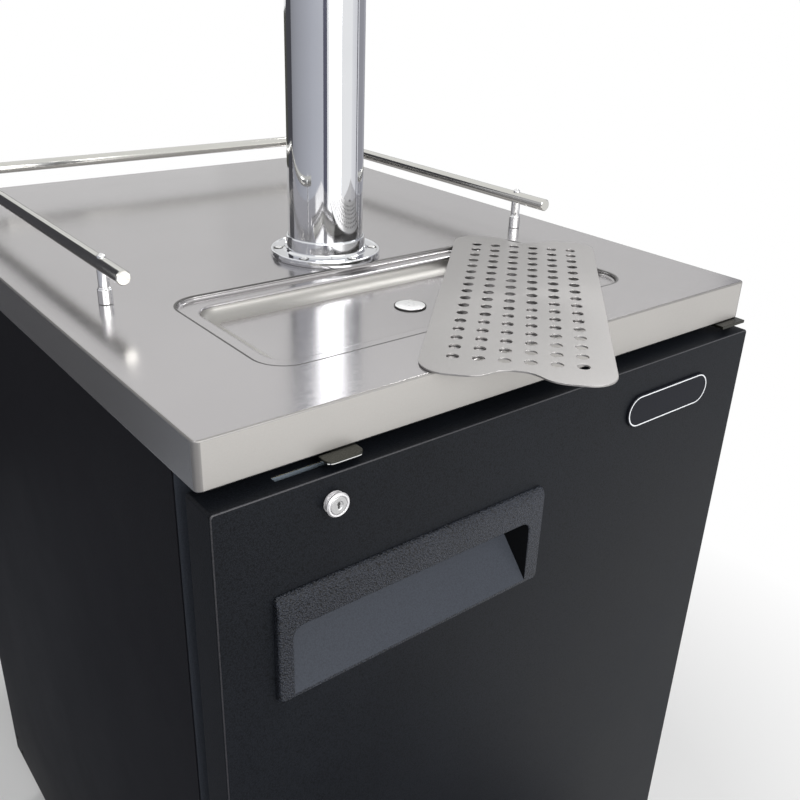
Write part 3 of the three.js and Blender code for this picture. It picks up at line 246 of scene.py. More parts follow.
def floor_dust_group() -> bpy.types.NodeTree:
    """Makes a mask of the dust that gathers near the floor.

    Returns:
        The group's tree.
    """
    group = Group("Floor dust", {"Vector": ZERO, "Height": 0.16}, ("Dust",))
    place = group.takes["Vector"]
    height = group.add("ShaderNodeSeparateXYZ", {0: place}).outputs[2]
    rise = group.maths("DIVIDE", height, group.takes["Height"])
    fall = group.out("ShaderNodeMath", {0: 1.0, 1: rise}, operation="SUBTRACT", use_clamp=True)
    return group.close(group.maths("MULTIPLY", fall, group.noise(place, 60.0, 5.0, 0.7)))


GRAIN, GRIT, FLOOR_DUST = grain_group(), grit_group(), floor_dust_group()
DUST_COLOUR = (0.32, 0.30, 0.27, 1.0)


@dataclass(frozen=True)
class Finish:
    """What all finishes share: a name, the record's slot and a main colour."""

    name: str
    slot: str
    colour: Triple

    def material(self) -> bpy.types.Material:
        """Gives the finish's material, which is built on the first call.

        Returns:
            The material.
        """
        if self.name in bpy.data.materials:
            return bpy.data.materials[self.name]
        material = bpy.data.materials.new(self.name)
        graph = emptied(material)
        place = graph.add("ShaderNodeTexCoord").outputs["Object"]
        shader = graph.out("ShaderNodeBsdfPrincipled", self.wire(graph, place))
        graph.add("ShaderNodeOutputMaterial", {"Surface": shader})
        return material

    def tint(self, graph: Graph, share: Socket, low: float, high: float) -> Socket:
        """Mixes the colour at two strengths by a share of the second one.

        Args:
            graph: The material's nodes.
            share: The second one's share.
            low: The first one's strength.
            high: The second one's strength.

        Returns:
            The mixed colour's socket.
        """
        shades = [
            (*(min(1.0, part * factor) for part in self.colour), 1.0) for factor in (low, high)
        ]
        return graph.blend(share, *shades)

    def wire(self, graph: Graph, place: Socket) -> dict[str, object]:
        """Draws the pattern. Each kind of finish has its own.

        Args:
            graph: The material's nodes.
            place: The object coordinates.

        Returns:
            What the Principled shader takes, by input name.
        """
        raise NotImplementedError


@dataclass(frozen=True)
class BrushedSteel(Finish):
    """Sheet or bar that was brushed along one direction."""

    gloss: float = 0.12
    dull: float = 0.26
    stretch: Triple = (0.08, 1.0, 1.0)
    turn: float = 0.0
    fineness: float = 1500.0
    variation: float = 0.05
    bump: float = 0.03
    anisotropy: float = 0.2
    metal: float = 0.88

    def wire(self, graph: Graph, place: Socket) -> dict[str, object]:
        """Joins lines, specks and clouds to colour, roughness and bump.

        Args:
            graph: The material's nodes.
            place: The object coordinates.

        Returns:
            What the Principled shader takes, by input name.
        """
        rotation = (0.0, 0.0, math.radians(-self.turn))
        turned_place = graph.out("ShaderNodeMapping", {"Vector": place, "Rotation": rotation})
        sizes = {"Vector": turned_place, "Stretch": self.stretch, "Fineness": self.fineness}
        grain = graph.group(GRAIN, sizes)
        lines = grain["Lines"]
        tone = graph.mean(lines, grain["Clouds"])
        matt = graph.mean(lines, grain["Specks"])
        return {
            "Base Color": self.tint(graph, tone, 1.0 - self.variation, 1.0 + self.variation),
            "Roughness": graph.ranged(matt, self.gloss, self.dull, 0.35, 0.68),
            "Normal": graph.bump(lines, self.bump, 0.0004),
            "Metallic": self.metal,
            "Anisotropic": self.anisotropy,
        }


@dataclass(frozen=True)
class Polished(Finish):
    """Chrome or polished steel, with faint smudges."""

    gloss: float = 0.04
    smudge: float = 0.05

    def wire(self, graph: Graph, place: Socket) -> dict[str, object]:
        """Joins the smudges to roughness and colour.

        Args:
            graph: The material's nodes.
            place: The object coordinates.

        Returns:
            What the Principled shader takes, by input name.
        """
        clouds = graph.group(GRAIN, {"Vector": place, "Cloud Scale": 22.0})["Clouds"]
        return {
            "Base Color": self.tint(graph, clouds, 0.96, 1.03),
            "Roughness": graph.ranged(clouds, self.gloss, self.gloss + self.smudge, 0.45, 0.75),
            "Metallic": 1.0,
        }


@dataclass(frozen=True)
class Skin(Finish):
    """Paint, plastic, rubber or foam with a bumpy or grained skin."""

    rough: float = 0.5
    spread: float = 0.08
    bump_scale: float = 800.0
    bump: float = 0.2
    depth: float = 0.0003
    variation: float = 0.08
    metal: float = 0.0
    specular: float = 0.5
    dust: float = 0.0

    def wire(self, graph: Graph, place: Socket) -> dict[str, object]:
        """Joins bumps, clouds and dust to colour, roughness and bump.

        Args:
            graph: The material's nodes.
            place: The object coordinates.

        Returns:
            What the Principled shader takes, by input name.
        """
        grit = graph.group(GRIT, {"Vector": place, "Bump Scale": self.bump_scale})
        bumps, clouds = grit["Bumps"], grit["Clouds"]
        mixed = graph.maths(
            "ADD", graph.maths("MULTIPLY", bumps, 0.75), graph.maths("MULTIPLY", clouds, 0.25)
        )
        tone = graph.ranged(mixed, 0.0, 1.0, 0.36, 0.64)
        colour = self.tint(graph, tone, 1.0 - self.variation, 1.0 + self.variation)
        if self.dust:
            mask = graph.group(FLOOR_DUST, {"Vector": place})[0]
            colour = graph.blend(graph.maths("MULTIPLY", mask, self.dust), colour, DUST_COLOUR)
        return {
            "Base Color": colour,
            "Roughness": graph.ranged(clouds, self.rough - self.spread, self.rough + self.spread),
            "Normal": graph.bump(bumps, self.bump, self.depth),
            "Metallic": self.metal,
            "Specular IOR Level": self.specular,
        }


TOP_STEEL = BrushedSteel("Counter steel", "stainless", (0.462, 0.449, 0.451), variation=0.1)
SIDE_STEEL = BrushedSteel(
    "Fascia side steel", "stainless", (0.46, 0.455, 0.44), stretch=(1.0, 0.06, 1.0)
)
FRONT_STEEL = BrushedSteel(
    "Fascia front steel", "stainless", (0.465, 0.45, 0.43),
    gloss=0.42, dull=0.6, stretch=(0.03, 1.0, 1.0), variation=0.09, metal=0.8,
)
# Darker steel on the counter's rounded outer edges and corners: painted shade that dims their
# highlight.
EDGE_SHADE_STEEL = BrushedSteel(
    "Ground edge steel", "stainless", (0.3, 0.29, 0.28), gloss=0.4, dull=0.55, bump=0.02
)
GRID_STEEL = BrushedSteel(
    "Drip grid steel", "stainless", (0.365, 0.355, 0.348),
    gloss=0.3, dull=0.44, turn=44.1, variation=0.16, metal=0.9,
)
RAIL_STEEL = Polished("Rail steel", "stainless", (0.62, 0.615, 0.58), gloss=0.1, smudge=0.02)
CHROME = Polished("Tower chrome", "polished_steel", (0.76, 0.77, 0.79))
BRIGHT = Polished("Bright fittings", "polished_steel", (0.82, 0.82, 0.82), gloss=0.06)
DISH_STEEL = Polished("Drain dish steel", "polished_steel", (0.97, 0.97, 0.97), gloss=0.14)
STRIKE_STEEL = BrushedSteel(
    "Strike steel", "zinc_plate", (0.05, 0.05, 0.042), gloss=0.25, dull=0.4, metal=0.9
)
# Near-black steel: painted shade, a thin dark line round the drip recess's rim. The drain ring
# takes it too.
RIM_SHADE_STEEL = BrushedSteel(
    "Pressed rim steel", "stainless", (0.1, 0.097, 0.094), gloss=0.3, dull=0.45
)
DRAWN_STEEL = BrushedSteel(
    "Drawn fillet steel", "stainless", (0.44, 0.43, 0.41), gloss=0.42, dull=0.58, metal=0.9
)
LOCK_STEEL = BrushedSteel(
    "Lock head steel", "polished_steel", (0.86, 0.85, 0.86), gloss=0.3, dull=0.42, metal=0.65
)
PLUG_STEEL = BrushedSteel(
    "Lock plug steel", "polished_steel", (0.55, 0.55, 0.55), gloss=0.3, dull=0.5
)
# Lighter black paint on the middle of the door's folded edge: a painted highlight along the fold.
FOLD_HIGHLIGHT_PAINT = Skin(
    "Folded black paint", "black_paint", (0.03, 0.03, 0.034),
    rough=0.36, bump=0.2, variation=0.3, specular=0.45,
)
DOOR_PAINT = Skin(
    "Textured black paint", "black_paint", (0.0068, 0.008, 0.0105),
    rough=0.46, bump=0.35, variation=0.5, specular=0.11,
)
BODY_PAINT = Skin(
    "Cabinet black paint", "black_paint", (0.0058, 0.0055, 0.0078),
    rough=0.5, bump=0.3, variation=0.4, specular=0.09,
)
UNIT_PAINT = Skin(
    "Unit black paint", "black_paint", (0.012, 0.012, 0.013), rough=0.35, bump=0.1, dust=0.6
)
GRAINED_PLASTIC = Skin(
    "Grained black plastic", "black_plastic", (0.0155, 0.018, 0.0245),
    rough=0.36, bump_scale=680.0, bump=1.0, depth=0.0016, variation=0.92, specular=0.3,
)
SMOOTH_PLASTIC = Skin(
    "Smooth black plastic", "black_plastic", (0.034, 0.039, 0.05),
    rough=0.52, bump=0.1, variation=0.16, specular=0.2,
)
# Near-black plastic on the pull pocket's side walls: painted shade.
SHADE_PLASTIC = Skin(
    "Pocket side plastic", "black_plastic", (0.003, 0.0033, 0.004), rough=0.7, specular=0.03
)
BADGE_BLACK = Skin(
    "Badge black", "black_plastic", (0.009, 0.01, 0.014), rough=0.5, bump=0.03, specular=0.1
)
BADGE_SILVER = Skin(
    "Badge silver line", "black_plastic", (0.72, 0.73, 0.75), rough=0.3, bump=0.02
)
RUBBER = Skin("Black rubber", "rubber", (0.012, 0.012, 0.012), rough=0.75, bump=0.15)
TREAD = Skin("Grey tread", "wheel_grey", (0.1, 0.105, 0.11), rough=0.7, bump=0.2, dust=0.7)
WHITE = Skin("White liner", "white_plastic", (0.74, 0.76, 0.76), rough=0.32, bump=0.05)
SLOT_GREY = Skin("Slot lining", "white_plastic", (0.2, 0.24, 0.28), rough=0.4, bump=0.05)
FOAM = Skin("Rigid foam", "foam", (0.72, 0.6, 0.33), rough=0.9, bump_scale=420.0, bump=0.6)
ZINC = Skin(
    "Zinc plate", "zinc_plate", (0.5, 0.52, 0.53), rough=0.36, bump=0.12, metal=1.0, dust=0.4
)
FIN_METAL = Skin(
    "Coil aluminium", "coil_aluminium", (0.6, 0.61, 0.62), rough=0.4, bump=0.08, metal=1.0
)
COPPER = Skin(
    "Copper tube", "coil_aluminium", (0.62, 0.27, 0.13), rough=0.3, bump=0.05, metal=1.0
)


# Outlines and drafts


def circle(count: int, radius: float = 1.0) -> list[Flat]:
    """Gives evenly spaced points on a circle about the origin."""
    angles = [2 * math.pi * step / count for step in range(count)]
    return [(radius * math.cos(angle), radius * math.sin(angle)) for angle in angles]


def arc(
    radius: float, start: float, sweep: float, steps: int, centre: Flat = (0.0, 0.0)
) -> list[Flat]:
    """Gives points on an arc.

    Args:
        radius: The arc's radius.
        start: Angle of the first point, in degrees.
        sweep: Angle from the first point to the last, in degrees.
        steps: Number of chords.
        centre: The arc's centre.

    Returns:
        The points, steps + 1 of them.
    """
    angles = [math.radians(start + sweep * step / steps) for step in range(steps + 1)]
    x, y = centre
    return [(x + radius * math.cos(angle), y + radius * math.sin(angle)) for angle in angles]


def oblong(
    x0: float, x1: float, y0: float, y1: float, radii: Sequence[float], steps: int = 8
) -> list[Flat]:
    """Gives a rectangle with round corners, always with the same number of points.

    Args:
        x0: Low side along the first axis.
        x1: High side along the first axis.
        y0: Low side along the second axis.
        y1: High side along the second axis.
        radii: One radius, or four from the corner (x1, y0) anticlockwise.
        steps: Chords of each corner.

    Returns:
        The outline, anticlockwise.
    """
    a, b, c, d = radii if len(radii) == 4 else [radii[0]] * 4
    return (
        arc(a, -90, 90, steps, (x1 - a, y0 + a))
        + arc(b, 0, 90, steps, (x1 - b, y1 - b))
        + arc(c, 90, 90, steps, (x0 + c, y1 - c))
        + arc(d, 180, 90, steps, (x0 + d, y0 + d))
    )


def upright(
    x0: float, x1: float, z0: float, z1: float, radii: Sequence[float], steps: int, y: float
) -> list[Triple]:
    """Gives an oblong that faces the front, as a ring at one depth y."""
    return [(a, y, b) for a, b in oblong(x0, x1, z0, z1, radii, steps)]


def framed(
    box: Sequence[Vector], rows: Iterable[tuple[float, float, float]], steps: int
) -> list[list[Triple]]:
    """Gives upright rings inside a box.

    Args:
        box: The box's low and high corner.
        rows: Each ring's inset from the box, its corner radius and its depth y.
        steps: Chords of each corner.

    Returns:
        The rings.
    """
    low, high = box
    rings = []
    for inset, radius, y in rows:
        sides = (low.x + inset, high.x - inset, low.z + inset, high.z - inset)
        rings.append(upright(*sides, (radius,), steps, y))
    return rings


def rod(radius: float, low: float, high: float) -> list[Flat]:
    """Gives the profile of a plain round rod between two heights."""
    return [(0.0, low), (radius, low), (radius, high), (0.0, high)]


def softened(corners: Sequence[tuple], steps: int = 4, closed: bool = False) -> list[Flat]:
    """Rounds the corners of an outline.

    Args:
        corners: Points as (a, b) or, where the corner is rounded, (a, b, radius).
        steps: Chords of each rounded corner.
        closed: Whether the last point joins the first.

    Returns:
        The points of the rounded outline.
    """
    count = len(corners)
    points: list[Flat] = []
    for index, corner in enumerate(corners):
        here = Vector(corner[:2])
        radius = corner[2] if len(corner) > 2 else 0.0
        if radius <= 0 or (not closed and index in (0, count - 1)):
            points.append((here.x, here.y))
            continue
        back = Vector(corners[index - 1][:2]) - here
        ahead = Vector(corners[(index + 1) % count][:2]) - here
        half = back.angle(ahead) / 2
        reach = min(radius / math.tan(half), 0.49 * back.length, 0.49 * ahead.length)
        away = reach * math.tan(half) / math.sin(half)
        middle = here + (back.normalized() + ahead.normalized()).normalized() * away
        first = here + back.normalized() * reach - middle
        last = here + ahead.normalized() * reach - middle
        whole = math.pi - 2 * half
        for step in range(steps + 1):
            share = step / steps
            spot = first * math.sin((1 - share) * whole) + last * math.sin(share * whole)
            spot = middle + spot / math.sin(whole)
            points.append((spot.x, spot.y))
    return points


class Facing(Enum):
    """Where the height of a flat outline or a turned profile points."""

    UP = Matrix.Identity(4)
    DOWN = Matrix(((1, 0, 0, 0), (0, -1, 0, 0), (0, 0, -1, 0), (0, 0, 0, 1)))
    FORWARD = Matrix(((1, 0, 0, 0), (0, 0, -1, 0), (0, 1, 0, 0), (0, 0, 0, 1)))
    BACK = Matrix(((1, 0, 0, 0), (0, 0, 1, 0), (0, -1, 0, 0), (0, 0, 0, 1)))
    RIGHT = Matrix(((0, 0, 1, 0), (0, 1, 0, 0), (-1, 0, 0, 0), (0, 0, 0, 1)))
    LEFT = Matrix(((0, 0, -1, 0), (0, 1, 0, 0), (1, 0, 0, 0), (0, 0, 0, 1)))
    SWAPPED = Matrix(((0, 1, 0, 0), (1, 0, 0, 0), (0, 0, 1, 0), (0, 0, 0, 1)))


def at(x: float, y: float, z: float, facing: Facing = Facing.UP) -> Matrix:
    """Gives the placement of an axis through a point."""
    return Matrix.Translation((x, y, z)) @ facing.value


def linked(name: str, data: bpy.types.ID) -> bpy.types.Object:
    """Makes an object of a mesh, a lamp or a camera and puts it in the scene.

    Args:
        name: The object's name.
        data: Its mesh, lamp or camera.

    Returns:
        The new object.
    """
    made = bpy.data.objects.new(name, data)
    bpy.context.scene.collection.objects.link(made)
    return made


class Draft:
    """Points and faces of one piece while it is being drawn. Drawing calls can be chained."""

    def __init__(self) -> None:
        """Starts with nothing."""
        self.points: list[Vector] = []
        self.faces: list[tuple[int, ...]] = []
        self.tags: list[int] = []
        self.wires: list[tuple[int, int]] = []

    def ring(self, points: Iterable[Sequence[float]]) -> list[int]:
        """Adds a closed ring of points and gives their numbers.

        Args:
            points: The ring's points.

        Returns:
            Their numbers.
        """
        start = len(self.points)
        self.points += [Vector(point) for point in points]
        return list(range(start, len(self.points)))

    def wire(self, points: Iterable[Sequence[float]]) -> "Draft":
        """Adds a closed ring of points that only edges join.

        Args:
            points: The ring's points.

        Returns:
            The draft.
        """
        ring = self.ring(points)
        self.wires += list(zip(ring, ring[1:] + ring[:1]))
        return self

    def face(self, corners: Sequence[int], tag: int = 0) -> None:
        """Adds one face with a finish number."""
        self.faces.append(tuple(corners))
        self.tags.append(tag)

    def bridge(self, low: Sequence[int], high: Sequence[int], tag: int = 0) -> None:
        """Joins two rings of as many points by a band of faces.

        Args:
            low: One ring.
            high: The other ring.
            tag: The faces' finish number.
        """
        count = len(low)
        for index in range(count):
            after = (index + 1) % count
            self.face((low[index], low[after], high[after], high[index]), tag)

    def skin(
        self,
        rings: Sequence[Iterable[Sequence[float]]],
        tags: Sequence[int] = (),
        looped: bool = False,
    ) -> "Draft":
        """Draws a skin through rings, capped at both ends or joined into a loop.

        Args:
            rings: The rings' points, as many in each.
            tags: Finish number of each band, zero where it is left out.
            looped: Whether the last ring joins the first.

        Returns:
            The draft.
        """
        placed = [self.ring(points) for points in rings]
        for index in range(len(placed) - 1):
            tag = tags[index] if index < len(tags) else 0
            self.bridge(placed[index], placed[index + 1], tag)
        if looped:
            self.bridge(placed[-1], placed[0])
        else:
            self.face(placed[0][::-1], tags[0] if tags else 0)
            self.face(placed[-1], tags[-1] if tags else 0)
        return self

    def turn(self, profile: Sequence[Flat], place: Matrix, segments: int = 64) -> "Draft":
        """Turns a profile about its axis.

        Args:
            profile: Points as (radius, height). The first and last may lie on the axis.
            place: Where the axis goes.
            segments: Number of steps round the axis.

        Returns:
            The draft.
        """
        rings: list[list[int]] = []
        for radius, height in profile:
            spots = [(0.0, 0.0)] if radius < 1e-7 else circle(segments, radius)
            rings.append(self.ring(place @ Vector((a, b, height)) for a, b in spots))
        closed = len(rings[0]) > 1 and len(rings[-1]) > 1
        for low, high in list(zip(rings, rings[1:])) + ([(rings[-1], rings[0])] if closed else []):
            if len(low) > 1 and len(high) > 1:
                self.bridge(low, high)
            elif len(low) > 1 or len(high) > 1:
                pole, rim = sorted((low, high), key=len)
                for step in range(segments):
                    self.face((pole[0], rim[step], rim[(step + 1) % segments]))
        return self

    def block(self, low: Sequence[float], high: Sequence[float]) -> "Draft":
        """Adds a box between two corners.

        Args:
            low: The low corner.
            high: The high corner.

        Returns:
            The draft.
        """
        (x0, y0, z0), (x1, y1, z1) = low, high
        corners = ((x0, y0), (x1, y0), (x1, y1), (x0, y1))
        return self.skin([[(a, b, z) for a, b in corners] for z in (z0, z1)])

    def prism(self, outline: Sequence[Flat], low: float, high: float, place: Matrix) -> "Draft":
        """Adds an outline carried from one height to another."""
        rings = [[place @ Vector((a, b, height)) for a, b in outline] for height in (low, high)]
        return self.skin(rings)

    def tube(self, path: Sequence[Vector], radius: float, sides: int = 24) -> "Draft":
        """Adds a round bar along a path, with softly rounded ends.

        Args:
            path: The bar's middle line.
            radius: The bar's radius.
            sides: Number of steps round it.

        Returns:
            The draft.
        """
        edge = 0.12 * radius
        first, last = (path[1] - path[0]).normalized(), (path[-1] - path[-2]).normalized()
        spots = [(path[0], radius - edge), (path[0] + first * edge, radius)]
        spots += [(point, radius) for point in path[1:-1]]
        spots += [(path[-1] - last * edge, radius), (path[-1], radius - edge)]
        normal = first.orthogonal().normalized()
        heading = first
        rings = []
        for index, (spot, size) in enumerate(spots):
            behind = spots[max(index - 1, 0)][0]
            beyond = spots[min(index + 1, len(spots) - 1)][0]
            ahead = (beyond - behind).normalized()
            normal = heading.rotation_difference(ahead) @ normal
            heading = ahead
            side = heading.cross(normal)
            rings.append([spot + size * (a * normal + b * side) for a, b in circle(sides)])
        return self.skin(rings)

    def object(self, name: str) -> bpy.types.Object:
        """Makes a mesh object, with its doubles merged and its faces turned outwards.

        Args:
            name: The object's name.

        Returns:
            The new object.
        """
        mesh = bpy.data.meshes.new(name)
        built = bmesh.new()
        corners = [built.verts.new(point) for point in self.points]
        for pair in self.wires:
            built.edges.new([corners[index] for index in pair])
        for face, tag in zip(self.faces, self.tags):
            try:
                built.faces.new([corners[index] for index in face]).material_index = tag
            except ValueError:
                LOG.warning("%s: a face is there twice", name)
        bmesh.ops.remove_doubles(built, verts=built.verts, dist=2e-6)
        bmesh.ops.dissolve_degenerate(built, edges=built.edges, dist=1e-6)
        bmesh.ops.recalc_face_normals(built, faces=built.faces)
        built.to_mesh(mesh)
        built.free()
        return linked(name, mesh)


def bake(piece: bpy.types.Object) -> bpy.types.Object:
    """Turns a piece's modifiers into plain mesh.

    Args:
        piece: The object.

    Returns:
        The same object.
    """
    bpy.context.view_layer.update()
    shown = piece.evaluated_get(bpy.context.evaluated_depsgraph_get())
    mesh = bpy.data.meshes.new_from_object(shown)
    piece.modifiers.clear()
    old = piece.data
    piece.data = mesh
    mesh.name = piece.name
    bpy.data.meshes.remove(old)
    return piece


def carve(
    piece: bpy.types.Object, *tools: Draft, operation: str = "DIFFERENCE"
) -> bpy.types.Object:
    """Cuts drafts out of a piece, or joins them to it.

    Args:
        piece: The object that is cut.
        *tools: The shapes that cut it.
        operation: DIFFERENCE, or UNION.

    Returns:
        The same object.
    """
    made = [tool.object("tool") for tool in tools]
    for tool in made:
        modifier = piece.modifiers.new("carve", "BOOLEAN")
        modifier.object = tool
        modifier.operation = operation
        modifier.solver = "EXACT"
    bake(piece)
    for tool in made:
        bpy.data.meshes.remove(tool.data)
    return piece


def soften(
    piece: bpy.types.Object, width: float, segments: int = 2, angle: float = 40.0
) -> bpy.types.Object:
    """Rounds the sharp edges of a piece.

    Args:
        piece: The object.
        width: How wide the edges are rounded.
        segments: Number of faces across an edge.
        angle: Edges sharper than this are rounded, in degrees.

    Returns:
        The same object.
    """
    modifier = piece.modifiers.new("soften", "BEVEL")
    modifier.width = width
    modifier.segments = segments
    modifier.limit_method = "ANGLE"
    modifier.angle_limit = math.radians(angle)
    modifier.use_clamp_overlap = True
    return bake(piece)


def settle(
    piece: bpy.types.Object,
    finishes: Sequence[Finish],
    body: str = "cabinet",
    nodes: Sequence[str] = (),
    angle: float = 32.0,
) -> bpy.types.Object:
    """Shades and dresses a finished piece and hangs it on its body.

    Args:
        piece: The object, in place.
        finishes: Its finishes, by finish number.
        body: The body that it rides on.
        nodes: The nodes that it stands for.
        angle: Edges sharper than this stay sharp, in degrees.

    Returns:
        The same object.
    """
    built = bmesh.new()
    built.from_mesh(piece.data)
    for face in built.faces:
        face.smooth = True
    for edge in built.edges:
        sharp = len(edge.link_faces) == 2 and edge.calc_face_angle(0.0) > math.radians(angle)
        edge.smooth = not sharp
    built.to_mesh(piece.data)
    built.free()
    piece.modifiers.new("flat", "WEIGHTED_NORMAL").keep_sharp = True
    bake(piece)
    numbers = [face.material_index for face in piece.data.polygons]
    piece.data.materials.clear()
    for finish in finishes:
        piece.data.materials.append(finish.material())
    piece.data.polygons.foreach_set("material_index", numbers)
    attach(piece, body)
    if nodes:
        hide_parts(*nodes)
    LOG.info("%s: %d faces on %s", piece.name, len(piece.data.polygons), body)
    return piece


def turned(
    name: str,
    node: str,
    finish: Finish,
    place: Matrix,
    segments: int,
    corners: Sequence[tuple],
    steps: int = 4,
    closed: bool = True,
    body: str = "cabinet",
) -> None:
    """Turns a softened profile into a piece that stands for one node.

    Args:
        name: The piece's name.
        node: The node that it stands for.
        finish: Its finish.
        place: Where its axis goes.
        segments: Number of steps round the axis.
        corners: The profile's corners, as softened takes them.
        steps: Chords of each rounded corner.
        closed: Whether the last corner joins the first.
        body: The body that it rides on.
    """
    draft = Draft().turn(softened(corners, steps, closed), place, segments)
    settle(draft.object(name), (finish,), body, (node,))


def refine(node: str, finish: Finish, width: float, body: str = "cabinet") -> None:
    """Dresses a copy of a node's shape, with whole faces and rounded edges.

    Args:
        node: The node that is copied.
        finish: The copy's finish.
        width: How wide its edges are rounded.
        body: The body that it rides on.
    """
    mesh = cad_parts[node].data.copy()
    built = bmesh.new()
    built.from_mesh(mesh)
    bmesh.ops.remove_doubles(built, verts=built.verts, dist=1e-5)
    flat_angle = math.radians(1.0)
    bmesh.ops.dissolve_limit(built, angle_limit=flat_angle, verts=built.verts, edges=built.edges)
    built.to_mesh(mesh)
    built.free()
    mesh.materials.clear()
    settle(soften(linked(node + "_dressed", mesh), width), (finish,), body, (node,))


def dress(node: str, finish: Finish) -> None:
    """Gives a node that keeps its own shape its material.

    Args:
        node: The node.
        finish: Its finish.
    """
    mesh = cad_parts[node].data
    mesh.materials.clear()
    mesh.materials.append(finish.material())


# Geometry node recipes


class Recipe(Graph):
    """A geometry node tree with named inputs, which ends in plain dressed mesh."""

    KINDS = {"geometry": "Geometry", "value": "Float", "count": "Int", "vector": "Vector",
             "object": "Object", "material": "Material"}

    def __init__(self, name: str, takes: dict[str, str]) -> None:
        """Makes the tree with its inputs, beside which it takes a shape and a finish.

        Args:
            name: The tree's name.
            takes: Kind of each input, by name.
        """
        super().__init__(bpy.data.node_groups.new(name, "GeometryNodeTree"))
        self.tree.is_modifier = True
        self.socket("Geometry", "geometry", "OUTPUT")
        for key, kind in {"Shape": "object", **takes, "Finish": "material"}.items():
            self.socket(key, kind, "INPUT")
        self.takes = self.tree.nodes.new("NodeGroupInput").outputs
        shape = self.add("GeometryNodeObjectInfo", {"Object": self.takes["Shape"]})
        self.shape = shape.outputs["Geometry"]

    def socket(self, name: str, kind: str, way: str) -> None:
        """Adds one input or output to the tree's interface."""
        kind = "NodeSocket" + self.KINDS[kind]
        self.tree.interface.new_socket(name, in_out=way, socket_type=kind)

    def copies(self, points: Socket, shape: Socket, turn: object = ZERO) -> Socket:
        """Sets a copy of a shape on each point."""
        inputs = {"Points": points, "Instance": shape, "Rotation": turn}
        return self.out("GeometryNodeInstanceOnPoints", inputs)

    def spread(self, count: Socket, place: Socket, turn: object = ZERO) -> "Recipe":
        """Copies the shape to as many computed places and ends the tree.

        Args:
            count: How many copies there are.
            place: Where each of them goes.
            turn: How each of them is turned.

        Returns:
            The recipe.
        """
        line = self.out("GeometryNodeMeshLine", {"Count": count})
        points = self.out("GeometryNodeSetPosition", {"Geometry": line, "Position": place})
        return self.close(self.copies(points, self.shape, turn))

    def close(self, geometry: Socket) -> "Recipe":
        """Ends the tree in Realize Instances and Set Material.

        Args:
            geometry: What the tree has made.

        Returns:
            The recipe.
        """
        real = self.out("GeometryNodeRealizeInstances", {0: geometry})
        inputs = {"Geometry": real, "Material": self.takes["Finish"]}
        self.add("NodeGroupOutput", {0: self.out("GeometryNodeSetMaterial", inputs)})
        return self

    def joined(self, *parts: Socket) -> Socket:
        """Joins pieces of geometry.

        Args:
            *parts: The pieces.

        Returns:
            Their sum.
        """
        node = self.add("GeometryNodeJoinGeometry")
        for part in parts:
            self.tree.links.new(part, node.inputs[0])
        return node.outputs[0]

    def cook(
        self, name: str, finish: Finish, values: dict[str, object], shape: Draft
    ) -> bpy.types.Object:
        """Runs the tree and gives its result as a plain mesh object.

        Args:
            name: The piece's name.
            finish: The finish that the tree sets.
            values: Input values by name.
            shape: The shape that the tree works on.

        Returns:
            The new object.
        """
        piece = linked(name, bpy.data.meshes.new(name))
        modifier = piece.modifiers.new("recipe", "NODES")
        modifier.node_group = self.tree
        made = shape.object(name + "_shape")
        given = {**values, "Shape": made, "Finish": finish.material()}
        for item in self.tree.interface.items_tree:
            if item.in_out == "INPUT":
                modifier[item.identifier] = given[item.name]
        bake(piece)
        bpy.data.meshes.remove(made.data)
        return piece


def circle_recipe() -> Recipe:
    """Repeats a shape round an axis along Z, such as screws, teeth and ribs.

    Returns:
        The recipe.
    """
    recipe = Recipe("Round pattern", {"Count": "count", "Radius": "value", "Turn": "value"})
    count, radius = recipe.takes["Count"], recipe.takes["Radius"]
    index = recipe.out("GeometryNodeInputIndex")
    step = recipe.maths("DIVIDE", 2 * math.pi, count)
    angle = recipe.maths("ADD", recipe.maths("MULTIPLY", index, step), recipe.takes["Turn"])
    x, y = (
        recipe.maths("MULTIPLY", recipe.maths(kind, angle), radius) for kind in ("COSINE", "SINE")
    )
    place = recipe.out("ShaderNodeCombineXYZ", {0: x, 1: y})
    return recipe.spread(count, place, recipe.out("ShaderNodeCombineXYZ", {2: angle}))


def rows_recipe() -> Recipe:
    """Repeats a shape in rows and columns, such as slats, fins and screws.

    Returns:
        The recipe.
    """
    counts = {"Columns": "count", "Rows": "count"}
    steps = {"Column Step": "vector", "Row Step": "vector", "Place": "vector"}
    recipe = Recipe("Rows pattern", {**counts, **steps})
    takes, columns = recipe.takes, recipe.takes["Columns"]
    index = recipe.out("GeometryNodeInputIndex")
    row = recipe.maths("FLOOR", recipe.maths("DIVIDE", index, columns))
    column = recipe.maths("SUBTRACT", index, recipe.maths("MULTIPLY", row, columns))
    across = recipe.vectors("SCALE", {0: takes["Column Step"], "Scale": column})
    up = recipe.vectors("SCALE", {0: takes["Row Step"], "Scale": row})
    both = recipe.vectors("ADD", {0: across, 1: up})
    place = recipe.vectors("ADD", {0: both, 1: takes["Place"]})
    return recipe.spread(recipe.maths("MULTIPLY", columns, takes["Rows"]), place)


